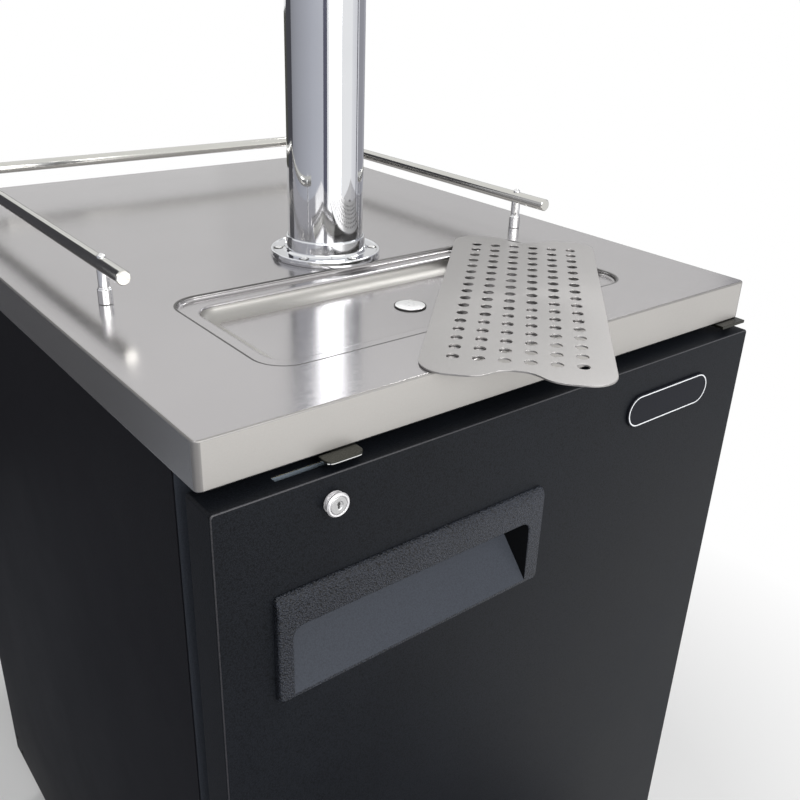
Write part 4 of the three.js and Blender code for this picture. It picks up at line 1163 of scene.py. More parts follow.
def perforated_recipe() -> Recipe:
    """Cuts rows of round holes in a flat outline and gives the sheet its gauge.

    Returns:
        The recipe.
    """
    counts = {"Columns": "count", "Rows": "count"}
    sizes = {"Pitch": "value", "Hole Radius": "value", "Gauge": "value"}
    recipe = Recipe("Perforated sheet", {**counts, **sizes})
    takes = recipe.takes
    rim = recipe.out("GeometryNodeMeshToCurve", {0: recipe.shape})
    inputs = {"Vertices X": takes["Columns"], "Vertices Y": takes["Rows"]}
    for key, count in (("Size X", takes["Columns"]), ("Size Y", takes["Rows"])):
        gaps = recipe.maths("SUBTRACT", count, 1)
        inputs[key] = recipe.maths("MULTIPLY", gaps, takes["Pitch"])
    grid = recipe.out("GeometryNodeMeshGrid", inputs)
    inputs = {"Resolution": 28, "Radius": takes["Hole Radius"]}
    holes = recipe.copies(grid, recipe.out("GeometryNodeCurvePrimitiveCircle", inputs))
    loose = recipe.out("GeometryNodeRealizeInstances", {0: holes})
    sheet = recipe.out("GeometryNodeFillCurve", {0: recipe.joined(rim, loose)})
    depth = recipe.out("ShaderNodeCombineXYZ", {2: takes["Gauge"]})
    inputs = {"Mesh": sheet, "Offset": depth, "Individual": False}
    raised = recipe.out("GeometryNodeExtrudeMesh", inputs)
    under = recipe.out("GeometryNodeFlipFaces", {0: sheet})
    inputs = {0: recipe.joined(raised, under), "Distance": 2e-6}
    return recipe.close(recipe.out("GeometryNodeMergeByDistance", inputs))


ROUND, ROWS, PERFORATED = circle_recipe(), rows_recipe(), perforated_recipe()


def around(
    name: str, finish: Finish, layout: tuple[int, float, float], shape: Draft, place: Matrix,
    body: str = "cabinet",
) -> None:
    """Repeats a shape round an axis and hangs the result on a body.

    Args:
        name: The piece's name.
        finish: Its finish.
        layout: How many copies there are, on what radius, and the first one's angle.
        shape: The shape, drawn about the origin.
        place: Where the axis goes.
        body: The body that it rides on.
    """
    piece = ROUND.cook(name, finish, dict(zip(("Count", "Radius", "Turn"), layout)), shape)
    piece.data.transform(place)
    settle(piece, (finish,), body)


@dataclass(frozen=True)
class Rows:
    """A repeated shape: where it starts, how many there are and how far apart."""

    place: Triple
    columns: int = 1
    rows: int = 1
    column_step: Triple = ZERO
    row_step: Triple = ZERO

    def cook(self, name: str, finish: Finish, shape: Draft) -> bpy.types.Object:
        """Repeats a shape by the rows recipe and hangs the result on the cabinet.

        Args:
            name: The piece's name.
            finish: Its finish.
            shape: The shape, drawn about the origin.

        Returns:
            The new piece.
        """
        values = {"Columns": self.columns, "Rows": self.rows, "Place": self.place}
        values.update({"Column Step": self.column_step, "Row Step": self.row_step})
        return settle(ROWS.cook(name, finish, values, shape), (finish,))


def screw_head(radius: float, height: float, place: Matrix) -> Draft:
    """Draws a domed screw head with a cross recess, standing along the place's Z.

    Args:
        radius: The head's radius.
        height: Its height.
        place: Where it stands.

    Returns:
        The draft.
    """
    lobes = 24
    slot, reach, deep = 0.2 * radius, 0.62 * radius, 0.55 * height
    rings = [[(x, y, 0.0) for x, y in circle(lobes, radius)]]
    for share in (1.0, 0.97, 0.85, 0.7, 0.5, 0.3, 0.14):
        dome = height * math.sqrt(max(0.0, 1.0 - 0.75 * share**2))
        ring = []
        for x, y in circle(lobes, share * radius):
            sunk = (abs(x) < slot and abs(y) < reach) or (abs(y) < slot and abs(x) < reach)
            ring.append((x, y, dome - (deep if sunk else 0.0)))
        rings.append(ring)
    return Draft().skin([[place @ Vector(point) for point in ring] for ring in rings])


def screws(name: str, facing: Facing, layout: Rows, radius: float = 0.0038) -> None:
    """Sets rows of cross-head screws in the cabinet's sheets."""
    layout.cook(name, STRIKE_STEEL, screw_head(radius, 0.4 * radius, facing.value))


def middle_of(node: str) -> Triple:
    """Gives the middle of a node's box."""
    low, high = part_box(node)
    return (low.x + high.x) / 2, (low.y + high.y) / 2, (low.z + high.z) / 2


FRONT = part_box("counter_top")[0].y
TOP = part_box("counter_top")[1].z
TOWER_Y = middle_of("tower_column")[1]


# Sub-assemblies


@dataclass
class Counter:
    """The folded stainless top with its pressed drip recess and its drain."""

    width: float = 0.6
    depth: float = 0.758
    fascia: float = 0.038
    gauge: float = 0.0015
    edge: float = 0.0016
    corner: float = 0.0055
    recess_y: float = 0.158
    recess_depth: float = 0.016
    steps: int = 12
    ledge: Triple = (0.202, 0.0895, 0.027)
    basin: Triple = (0.187, 0.072, 0.022)
    # The lip rings' bands take the near-black rim steel: painted shade, a thin dark line round the
    # recess.
    lip: tuple[int, int] = (33, 38)
    fillet: tuple[int, int] = (3, 15)

    def ring(self, half_x: float, half_y: float, radius: float, z: float, y: float) -> list:
        """Gives a round cornered ring about a middle line, at a height under the top."""
        flat = oblong(-half_x, half_x, y - half_y, y + half_y, (radius,), self.steps)
        return [(a, FRONT + b, TOP + z) for a, b in flat]

    def wall(self, shape: Triple, shrink: float, z: float) -> list:
        """Gives a ring of the ledge's or the basin's wall, shrunk from its outline."""
        return self.ring(*(size - shrink for size in shape), z, self.recess_y)

    def rim(self, shrink: float, z: float) -> list:
        """Gives a ring of the outer edge, shrunk from its outline.

        Args:
            shrink: How far it lies inside.
            z: Its height under the top.

        Returns:
            The ring.
        """
        half_x, half_y = self.width / 2, self.depth / 2
        radius = max(self.corner - shrink, 0.0008)
        return self.ring(half_x - shrink, half_y - shrink, radius, z, half_y)

    def skin(self) -> list:
        """Gives all rings from the drain hole out over the edge and back under the sheet.

        Returns:
            The rings.
        """
        ledge, basin, low, sheet = self.ledge, self.basin, -self.fascia, self.gauge
        deep, edge = -self.recess_depth, self.edge
        drain, window = (0.0083, 0.0083, 0.0083), (0.28, 0.349, 0.002)
        return [
            self.ring(*drain, deep - 0.0005, self.recess_y),
            self.ring(0.0165, 0.0165, 0.0165, deep, self.recess_y),
            self.wall(basin, 0.0185, deep),
            *(
                self.wall(basin, 0.016 - 0.016 * b, -0.0065 - 0.0095 * a)
                for a, b in arc(1.0, 0, 90, 12)
            ),
            *(self.wall(basin, a - 0.0025, b - 0.0065) for a, b in arc(0.0025, 0, 90, 6)),
            self.wall(basin, -0.0030, -0.004),
            self.wall(ledge, 0.0026, -0.004),
            *(self.wall(ledge, 0.002 - b, -0.002 - a) for a, b in arc(0.002, 0, 90, 5)),
            *(self.wall(ledge, a - 0.0016, b - 0.0016) for a, b in arc(0.0016, 0, 90, 6)),
            self.wall(ledge, -0.0029, 0.0),
            self.rim(edge + 0.0007, 0.0),
            *(self.rim(edge - a, b - edge) for a, b in arc(edge, 90, -90, 6)),
            self.rim(0.0, -edge - 0.0007),
            self.rim(0.0, 0.0018 + low),
            *(self.rim(0.0011 - a, 0.0011 + low + b) for a, b in arc(0.0011, 0, -90, 4)),
            self.rim(0.0018, low),
            self.ring(*window, low, 0.389),
            self.ring(*window, low + sheet, 0.389),
            self.rim(sheet, low + sheet),
            self.rim(sheet, -sheet),
            self.wall(ledge, -sheet, -sheet),
            self.wall(ledge, -sheet, -sheet - 0.004),
            self.wall(basin, -sheet, -sheet - 0.004),
            self.wall(basin, -sheet + 0.004, -sheet + deep),
            self.ring(*drain, deep - 0.0005 - sheet, self.recess_y),
        ]

    def build(self) -> None:
        """Builds the top and the drain."""
        rings = self.skin()
        tags = [0] * len(rings)
        # Painted shade: the lip's bands get the near-black rim steel.
        for (first, last), tag in ((self.lip, 4), (self.fillet, 5)):
            tags[first:last] = [tag] * (last - first)
        top = Draft().skin(rings, tags, looped=True).object("counter_top_sheet")
        # Faces on the rounded outer edges and corners take the darker edge steel, painted shade
        # that dims their highlight; the flat sides take the side or front steel.
        for face in top.data.polygons:
            outer = max(abs(face.center.x) / 0.2985, abs(face.center.y - FRONT - 0.379) / 0.3775)
            if outer > 1.0 and face.center.z > TOP - 0.037:
                x, y, z = (abs(part) for part in face.normal)
                if 0.1 < z < 0.97 or (min(x, y) > 0.1 and z < 0.9):
                    face.material_index = 2
                elif max(x, y) > 0.9:
                    face.material_index = 1 if x > 0.9 else 3
        steels = (TOP_STEEL, SIDE_STEEL, EDGE_SHADE_STEEL, FRONT_STEEL, RIM_SHADE_STEEL, DRAWN_STEEL)
        settle(top, steels, nodes=("counter_top",))
        self.drain()
        dress("counter_core", FOAM)
        dress("drain_nut", ZINC)

    def drain(self) -> None:
        """Builds the drain's ring and tail, and its domed strainer with five holes."""
        y, floor = FRONT + self.recess_y, TOP - self.recess_depth
        # The drain ring takes the same near-black steel as the rim's painted shade line.
        turned("drain_ring", "drain_fitting", RIM_SHADE_STEEL, at(0, y, 0), 56, (
            (0.0065, floor - 0.066), (0.008, floor - 0.066, 0.0005),
            (0.008, floor + 0.0003, 0.0005), (0.0152, floor + 0.0003, 0.0004),
            (0.0152, floor + 0.0012, 0.0006), (0.0148, floor + 0.0013, 0.0002),
            (0.0145, floor + 0.0006, 0.0003), (0.0065, floor + 0.0006, 0.0006),
        ))
        plate = softened((
            (0.0, floor + 0.0007), (0.0143, floor + 0.0007, 0.0002),
            (0.0143, floor + 0.0013, 0.0003), (0.008, floor + 0.0019, 0.006),
            (0.0, floor + 0.0021),
        ))
        strainer = Draft().turn(plate, at(0, y, 0), 40).object("drain_strainer")
        holes = [
            Draft().turn(rod(0.0006, -0.01, 0.01), at(a, y + b, floor), 10)
            for a, b in circle(5, 0.0042)
        ]
        settle(carve(strainer, *holes), (DISH_STEEL,))


@dataclass
class DripGrid:
    """The loose perforated plate that lies askew over the front edge."""

    length: float = 0.389
    width: float = 0.15
    corner: float = 0.026
    gauge: float = 0.0015
    columns: int = 17
    rows: int = 6
    pitch: float = 0.02
    hole: float = 0.005
    middle: Flat = (0.074, 0.088)
    angle: float = 44.1

    def outline(self) -> list[Flat]:
        """Gives the plate's outline with a smooth finger notch in each short end.

        Returns:
            The outline.
        """
        x, y, r = self.length / 2, self.width / 2, self.corner
        notch = [(x - 0.0165, -0.011, 0.022), (x - 0.0165, 0.011, 0.022)]
        end = [(x, -y, r), (x, -0.027, 0.03), *notch, (x, 0.027, 0.03), (x, y, r)]
        return softened([*end, *((-a, -b, c) for a, b, c in end)], 9, closed=True)

    def build(self) -> None:
        """Builds the plate and puts it in place."""
        values = {"Columns": self.columns, "Rows": self.rows, "Pitch": self.pitch}
        values.update({"Hole Radius": self.hole, "Gauge": self.gauge})
        outline = Draft().wire([(a, b, 0.0) for a, b in self.outline()])
        piece = PERFORATED.cook("drip_grid_plate", GRID_STEEL, values, outline)
        soften(piece, 0.00025, 2, 50.0)
        x, y = self.middle
        place = Matrix.Translation((x, FRONT + y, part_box("drip_grid")[0].z))
        piece.data.transform(place @ Matrix.Rotation(math.radians(self.angle), 4, "Z"))
        settle(piece, (GRID_STEEL,), "drip_grid", ("drip_grid",))


@dataclass
class GuardRail:
    """The bent bar round three sides and the posts that carry it."""

    radius: float = 0.0065
    lift: float = 0.035
    inset: float = 0.054
    front: float = 0.226
    bend: float = 0.045
    depth: float = 0.758

    def path(self) -> list[Vector]:
        """Gives the bar's middle line from the left front end to the right one.

        Returns:
            The line's points.
        """
        half, back, z = 0.3 - self.inset, self.depth - self.inset, TOP + self.lift
        left = arc(self.bend, 180, -90, 12, (self.bend - half, back - self.bend))
        right = arc(self.bend, 90, -90, 12, (half - self.bend, back - self.bend))
        flat = [(-half, self.front), *left, *right, (half, self.front)]
        return [Vector((a, FRONT + b, z)) for a, b in flat]

    def build(self) -> None:
        """Builds the bar and its posts."""
        bar = Draft().tube(self.path(), self.radius, 32)
        settle(bar.object("guard_rail_bar"), (RAIL_STEEL,), nodes=("guard_rail",))
        base, crown = TOP + 0.0003, TOP + self.lift + self.radius
        sleeve = softened((
            (0.0, base), (0.0064, base, 0.0004), (0.0064, base + 0.0125, 0.0006),
            (0.0056, base + 0.0135, 0.0004), (0.0056, base + 0.0142, 0.0003),
            (0.005, base + 0.0146, 0.0003), (0.005, crown - 0.0045), (0.0, crown - 0.0045),
        ))
        head = softened((
            (0.0, crown - 0.002), (0.0038, crown - 0.002), (0.0038, crown + 0.0012, 0.0012),
            (0.0012, crown + 0.0029, 0.001), (0.0, crown + 0.0029),
        ))
        for node in ("rail_post_1", "rail_post_2", "rail_post_3", "rail_post_4"):
            x, y, _ = middle_of(node)
            post = Draft().turn(sleeve, at(x, y, 0), 40).turn(head, at(x, y, 0), 32)
            settle(post.object(f"{node}_turned"), (BRIGHT,), nodes=(node,))


@dataclass
class Tower:
    """The draught tower on its screwed flange."""

    radius: float = 0.0381
    wall: float = 0.002
    flange: float = 0.0565
    plate: float = 0.0049
    screw_circle: float = 0.048

    def build(self) -> None:
        """Builds the gasket, flange, tube, cap and screws."""
        axis = at(0, TOWER_Y, 0)
        low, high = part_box("tower_gasket")
        turned("tower_pad", "tower_gasket", RUBBER, axis, 72, (
            (0.029, low.z), (high.x, low.z, 0.0003), (high.x, high.z, 0.0003), (0.029, high.z),
        ))
        low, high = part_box("tower_flange")
        plate, rim = low.z + self.plate, self.flange
        turned("tower_flange_ring", "tower_flange", CHROME, axis, 112, (
            (0.0341, low.z), (0.0512, low.z), (0.0512, TOP + 0.0002),
            (rim - 0.0004, TOP + 0.0002, 0.0003), (rim, TOP + 0.0026, 0.0012),
            (rim - 0.0004, plate, 0.0016), (rim - 0.0028, plate, 0.0008),
            (rim - 0.0036, plate - 0.0007, 0.0006), (0.0436, plate - 0.0004, 0.0012),
            (0.0414, plate + 0.0016, 0.002), (0.0402, high.z - 0.001, 0.0016),
            (0.0392, high.z, 0.0006), (0.0384, high.z, 0.0003), (0.0384, low.z + 0.0016),
            (0.0341, low.z + 0.0016),
        ), 6)
        layout, seat = (6, self.screw_circle, math.pi / 6), at(0, TOWER_Y, plate - 0.0006)
        head = screw_head(0.0038, 0.0014, Facing.UP.value)
        around("flange_screws", BRIGHT, layout, head, seat)
        sink = [(0.0, 0.0), (0.0053, 0.0), (0.0049, 0.0004), (0.0, 0.0004)]
        sunk = Draft().turn(sink, Facing.UP.value, 20)
        around("flange_screw_seats", STRIKE_STEEL, layout, sunk, seat)
        low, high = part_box("tower_column")
        outer, inner = self.radius, self.radius - self.wall
        turned("tower_tube", "tower_column", CHROME, axis, 128, (
            (inner, low.z), (outer, low.z, 0.0003), (outer, high.z, 0.0005),
            (inner, high.z, 0.0005),
        ), 3)
        low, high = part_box("tower_cap")
        seat = low.z + 0.01
        turned("tower_cap_dome", "tower_cap", CHROME, axis, 112, (
            (0.0, seat), (0.0338, seat), (0.0338, low.z), (0.0358, low.z, 0.0004), (0.0358, seat),
            (0.0381, seat, 0.0004), (0.0381, seat + 0.004, 0.0018),
            (0.0267, seat + 0.0061, 0.02), (0.0, high.z),
        ), 6, closed=False)
        dress("tower_insulation", FOAM)


@dataclass
class Faucet:
    """The shank through the tower, the faucet on it, its lever and its handle."""

    tower_radius: float = 0.0381
    nut_radius: float = 0.0178
    nut_teeth: int = 18
    body_length: float = 0.0503
    pivot_inset: float = 0.03
    spout_reach: float = 0.066
    spout_radius: float = 0.0079
    ball_radius: float = 0.006

    def build(self) -> None:
        """Builds the shank and its nut, and then the pieces before them."""
        low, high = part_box("shank")
        z, face, collar = (low.z + high.z) / 2, low.y, TOWER_Y - self.tower_radius
        axis = at(0, 0, z, Facing.BACK)
        turned("shank_turned", "shank", BRIGHT, axis, 64, (
            (0.0048, face), (0.011, face, 0.0008), (0.011, collar - 0.005),
            (0.0155, collar - 0.005, 0.0008), (0.021, collar - 0.0025, 0.0012),
            (0.021, collar + 0.0045, 0.0006), (0.011, collar + 0.0045),
            (0.011, high.y, 0.0005), (0.0048, high.y),
        ))
        low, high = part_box("coupling_nut")
        rim = self.nut_radius
        turned("nut_core", "coupling_nut", BRIGHT, axis, 72, (
            (0.0113, low.y), (rim, low.y, 0.001), (rim, high.y, 0.001), (0.0113, high.y),
        ))
        tooth = softened((
            (-0.0016, -0.0006), (0.0016, -0.0006), (0.0012, 0.0012, 0.0005),
            (-0.0012, 0.0012, 0.0005),
        ), closed=True)
        shape = Draft().prism(tooth, 0.0018, high.y - low.y - 0.0018, Facing.SWAPPED.value)
        layout = (self.nut_teeth, rim, 0.0)
        around("nut_teeth", BRIGHT, layout, shape, at(0, low.y, z, Facing.BACK))
        self.body(z, face)
        self.lever()

    def body(self, z: float, face: float) -> None:
        """Builds the faucet's barrel, bonnet and spout as one casting.

        Args:
            z: Height of the shank's axis.
            face: Depth of the shank's front face.
        """
        back, nose = face - 0.0003, face - self.body_length
        barrel = softened((
            (0.0, nose), (0.0095, nose, 0.004), (0.0125, nose + 0.011, 0.006),
            (0.0125, back - 0.006, 0.001), (0.0152, back - 0.005, 0.0008),
            (0.0152, back, 0.0006), (0.0, back),
        ))
        casting = Draft().turn(barrel, at(0, 0, z, Facing.BACK)).object("faucet_casting")
        pivot, reach = face - self.pivot_inset, face - self.spout_reach
        bonnet = softened((
            (0.0, z - 0.011), (0.013, z - 0.011, 0.004), (0.0142, z + 0.004, 0.002),
            (0.015, z + 0.006, 0.0006), (0.015, z + 0.0205, 0.001),
            (0.0138, z + 0.022, 0.0005), (0.0, z + 0.022),
        ))
        bend = softened((
            (pivot, z - 0.001), (reach + 0.012, z - 0.005, 0.018), (reach, z - 0.034, 0.02),
            (reach, z - 0.075),
        ), 10)
        spout = Draft().tube([Vector((0, a, b)) for a, b in bend], self.spout_radius, 32)
        carve(casting, Draft().turn(bonnet, at(0, pivot, 0)), spout, operation="UNION")
        mouth = Draft().turn(rod(0.0057, z - 0.08, z - 0.053), at(0, reach, 0), 32)
        funnel = [(0, z + 0.003), (0.0068, z + 0.004), (0.0068, z + 0.009)]
        funnel += [(0.012, z + 0.023), (0, z + 0.023)]
        carve(casting, mouth, Draft().turn(funnel, at(0, pivot, 0), 40))
        settle(casting, (BRIGHT,), nodes=("faucet_body",), angle=28.0)

    def lever(self) -> None:
        """Builds the lever with its ball and collar, the handle and the beer line."""
        low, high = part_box("faucet_lever")
        x, y, _ = middle_of("faucet_lever")
        ball = low.z + self.ball_radius
        stem = softened((
            (0.004, ball + 0.0046), (0.004, ball + 0.024, 0.0008),
            (0.0088, ball + 0.024, 0.001), (0.0088, ball + 0.0278, 0.001),
            (0.004, ball + 0.0278, 0.0003), (0.004, high.z, 0.0008), (0.0, high.z),
        ))
        sphere = arc(self.ball_radius, -75, 117, 10, (0, ball))
        lever = Draft().turn([(0.0, ball - self.ball_radius), *sphere, *stem], at(x, y, 0), 48)
        settle(lever.object("lever_turned"), (BRIGHT,), "faucet_handle", ("faucet_lever",))
        low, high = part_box("tap_handle")
        grip, crown = low.z, high.z
        turned("handle_grip", "tap_handle", SMOOTH_PLASTIC, at(x, y, 0), 56, (
            (0.0043, grip), (0.009, grip, 0.0008), (0.009, grip + 0.008, 0.001),
            (0.0072, grip + 0.0105, 0.002), (0.0085, grip + 0.03, 0.03),
            (0.0138, grip + 0.058, 0.02), (0.0132, crown - 0.004, 0.006),
            (0.004, crown - 0.0004, 0.006), (0.0, crown), (0.0, grip + 0.009),
            (0.0043, grip + 0.009),
        ), 6, body="faucet_handle")
        dress("beer_line_tube", RAIL_STEEL)


@dataclass
class Door:
    """The insulated door with its skin, gasket, pull, badge and lock."""

    half: float = 0.299
    front: float = -0.014
    thickness: float = 0.0345
    bottom: float = 0.205
    fold: float = 0.0018
    gauge: float = 0.001
    slot: tuple[Flat, Flat] = ((-0.039, 0.007), (-0.0007, 0.0063))
    lining: float = 0.0007
    top: float = 0.948
    pin: Triple = (0.287, 0.003, 0.0043)
    gasket: float = 0.016
    pull_seat: float = 0.0143
    pull_face: float = 0.02
    pull_slope: float = 23.9
    pull_mouth: tuple[float, ...] = (0.0006, 0.0095, 0.0095, 0.0006)
    pocket_sides: Flat = (0.0125, 0.016)
    pocket_drop: Flat = (0.221, 0.16)
    lean: float = 0.015

    def plate(self, shrink: float, y: float, radius: float) -> list:
        """Gives a ring of the door's outline at a depth behind the counter's front."""
        side, top = self.half - shrink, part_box("door_skin")[1].z - shrink
        return upright(-side, side, self.bottom + shrink, top, (radius,), 6, FRONT + y)

    def build(self) -> None:
        """Builds all that rides on the door."""
        self.skin()
        self.slot_lining()
        self.inside()
        self.pull()
        self.badge()
        self.lock()

    def skin(self) -> None:
        """Builds the folded skin with its cut-outs for pull, lock, cam and hinge pins."""
        back, bend = self.front + self.thickness, self.fold
        rings = [self.plate(bend + inner, self.front, 0.0012) for inner in (0.02, 0.0006)]
        for a, b in arc(bend, 90, -90, 5):
            rings.append(self.plate(bend - a, self.front + bend - b, 0.003 - 0.6 * (bend - a)))
        rings += [
            self.plate(0.0, self.front + bend + 0.0006, 0.003),
            self.plate(0.0, back - 0.0008, 0.003),
            self.plate(0.0003, back, 0.0028),
            self.plate(self.gauge, back, 0.002),
            self.plate(self.gauge, self.front + self.gauge, 0.002),
        ]
        # Bands 3 and 4, the middle of the folded edge, take the lighter paint: a painted highlight
        # along the fold.
        skin = Draft().skin(rings, (0, 0, 0, 1, 1, 0, 0)).object("door_front_skin")
        low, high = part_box("door_handle")
        x, _, z = middle_of("lock_barrel")
        (x0, x1), (y0, y1) = self.slot
        cuts = [
            Draft().block(
                (low.x + 0.0032, FRONT - 0.03, low.z + 0.0032),
                (high.x - 0.0032, FRONT - 0.0045, high.z - 0.0032),
            ),
            Draft().turn(rod(0.0082, -0.03, 0.0), at(x, FRONT - 0.005, z, Facing.BACK), 40),
            Draft().block((x + x0, FRONT + y0, 0.9), (x + x1, FRONT + y1, 0.96)),
        ]
        pin_x, pin_y, pin = self.pin
        hinge = at(pin_x, FRONT + pin_y, 0)
        for height in (self.bottom, self.top):
            cuts.append(Draft().turn(rod(pin, height - 0.02, height + 0.02), hinge, 24))
        settle(carve(skin, *cuts), (DOOR_PAINT, FOLD_HIGHLIGHT_PAINT), "door", ("door_skin",))

    def slot_lining(self) -> None:
        """Lines the cam's slot in the door's top, with room for the lock."""
        x, _, z = middle_of("lock_barrel")
        (x0, x1), (y0, y1) = self.slot
        thin, z0, z1 = self.lining, z - 0.0069, 0.9468
        rings = []
        for inset, height in ((0.0, z0), (0.0, z1), (thin, z1), (thin, z0 + thin)):
            a, b = x + x0 + inset, x + x1 - inset
            c, d = FRONT + y0 + inset, FRONT + y1 - inset
            rings.append([(a, c, height), (b, c, height), (b, d, height), (a, d, height)])
        lining = Draft().skin(rings).object("cam_slot_lining")
        barrel = Draft().turn(rod(0.0084, -0.03, 0.0), at(x, FRONT + 0.0012, z, Facing.BACK), 40)
        plug = Draft().turn(rod(0.0036, -0.02, 0.02), at(x, FRONT, z, Facing.BACK), 24)
        settle(carve(lining, barrel, plug), (SLOT_GREY,), "door")

    def inside(self) -> None:
        """Builds the inner panel and the gasket, and dresses the foam."""
        dress("door_foam", FOAM)
        low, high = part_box("door_liner")
        rings = framed((low, high), (
            (0.0, 0.002, low.y), (0.0, 0.002, high.y - 0.0005), (0.0005, 0.002, high.y),
            (0.052, 0.016, high.y), (0.0535, 0.0145, high.y + 0.0004),
            (0.056, 0.012, high.y + 0.0016), (0.0585, 0.0095, high.y + 0.0028),
            (0.06, 0.008, high.y + 0.0032), (0.083, 0.03, high.y + 0.0032),
            (0.0845, 0.0285, high.y + 0.0029), (0.087, 0.026, high.y + 0.0018),
            (0.0885, 0.0245, high.y + 0.0015),
        ), 8)
        panel = Draft().skin(rings).object("door_inner_panel")
        settle(panel, (WHITE,), "door", ("door_liner",))
        low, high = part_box("door_gasket")
        wide, fold = self.gasket, low.y + 0.006
        profile = softened((
            (0.0, low.y, 0.0015), (wide, low.y, 0.0015), (wide, fold, 0.001),
            (wide - 0.003, fold + 0.003, 0.001), (wide, fold + 0.006, 0.001),
            (wide, high.y, 0.002), (0.0, high.y, 0.002), (0.0, fold + 0.006, 0.001),
            (0.003, fold + 0.003, 0.001), (0.0, fold, 0.001),
        ), 3, closed=True)
        rings = framed((low, high), [(inset, 0.0005, y) for inset, y in profile], 2)
        bellows = Draft().skin(rings, looped=True).object("gasket_bellows")
        settle(bellows, (RUBBER,), "door", ("door_gasket",))

    def pull(self) -> None:
        """Builds the recessed pull: a grained bezel round a sloping finger pocket."""
        low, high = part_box("door_handle")
        x0, x1, z0, z1 = low.x, high.x, low.z, high.z
        seat, face = FRONT - self.pull_seat, FRONT - self.pull_face
        steps, body, edge = 9, 0.0035, 0.0004
        inner = (x0 + body, x1 - body, z0 + body, z1 - body)
        rings = [upright(*inner, (0.003,), steps, y) for y in (high.y, seat)]
        outer = (x0 + edge, x1 - edge, z0 + edge, z1 - edge)
        rings.append(upright(*outer, (0.005,), steps, seat))
        for share in (0.0, 0.15, 0.3, 0.45, 0.6, 0.72, 0.82, 0.9, 0.96, 1.0):
            crown = 0.0125 * (1.0 - math.sqrt(1.0 - share**2))
            round_share = max(0.0, (share - 0.62) / 0.38)
            side = 0.0022 * (1.0 - math.sqrt(max(0.0, 1.0 - round_share**2)))
            sides = (x0 + side, x1 - side, z0 + 0.0045 * share, z1 - crown)
            radii = (0.005 - side, 0.0034 - side, 0.0034 - side, 0.005 - side)
            rings.append(upright(*sides, radii, steps, seat + (face - seat) * share))
        p0, p1 = x0 + self.pocket_sides[0], x1 - self.pocket_sides[1]
        q0, q1 = (TOP - drop for drop in self.pocket_drop)
        mouth = self.pull_mouth
        sides = (p0 - 0.0013, p1 + 0.0013, q0 - 0.0005, q1 + 0.0013)
        rings.append(upright(*sides, [radius + 0.001 for radius in mouth], steps, face))

        def sill(deep: float, height: float) -> float:
            """Gives a depth behind the bezel's face, which runs out at the pocket's sill."""
            return face + deep * min(1.0, max(0.08, (height - q0) / 0.004))

        for a, b in arc(0.001, 0, 90, 4):
            grow = 0.001 - b
            radii = [radius + grow for radius in mouth]
            flat = oblong(p0 - grow, p1 + grow, q0 - 0.3 * grow, q1 + grow, radii, steps)
            rings.append([(c, sill(0.001 - a, d), d) for c, d in flat])
        slope = math.tan(math.radians(self.pull_slope))
        floor = []
        for a, b in oblong(p0, p1, q0, q1, mouth, steps):
            side = max(0.0, (a - p1 + 0.012) / 0.012) * (b - q0) / (q1 - q0)
            floor.append((a - self.lean * side, sill(0.0012, b) + slope * (b - q0), b))
        rings.append(floor)
        # The band from the mouth into the pocket takes the near-black plastic, painted shade on the
        # side walls; its big sloping floor faces go back to the smooth plastic.
        pull = Draft().skin(rings, [0] * (len(rings) - 2) + [2]).object("door_pull")
        for patch in pull.data.polygons:
            if patch.material_index == 2 and 0.3 < patch.normal.z < 0.6 and patch.area > 0.002:
                patch.material_index = 1
        lip = q1 - 0.0004
        scoop = (
            (face + 0.008, lip), (face + 0.001 + slope * (lip - q0), lip),
            (face + 0.033, q1 + 0.012), (face + 0.033, q1 + 0.019), (face + 0.008, q1 + 0.019),
        )
        finger = [[(x, a, b) for a, b in scoop] for x in (p0 + 0.0096, p1 - 0.0175)]
        carve(pull, Draft().skin(finger))
        plastics = (GRAINED_PLASTIC, SMOOTH_PLASTIC, SHADE_PLASTIC)
        settle(pull, plastics, "door", ("door_handle",), 30.0)

    def badge(self) -> None:
        """Builds the bare badge plate with its bright line."""
        low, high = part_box("badge_plate")
        face, line, half = low.y, low.y - 0.00012, (high.z - low.z) / 2 - 1e-5
        profile = (
            (-0.0013, high.y), (-0.0013, face + 0.0006), (-0.0011, face + 0.0002),
            (-0.0007, face), (0.0001, face), (0.0002, line), (0.0012, line), (0.0013, face),
            (0.0027, face),
        )
        rings = framed((low, high), [(inset, half - inset, y) for inset, y in profile], 14)
        badge = Draft().skin(rings, (0, 0, 0, 0, 1, 1, 1, 0, 0)).object("badge")
        settle(badge, (BADGE_BLACK, BADGE_SILVER), "door", ("badge_plate",))

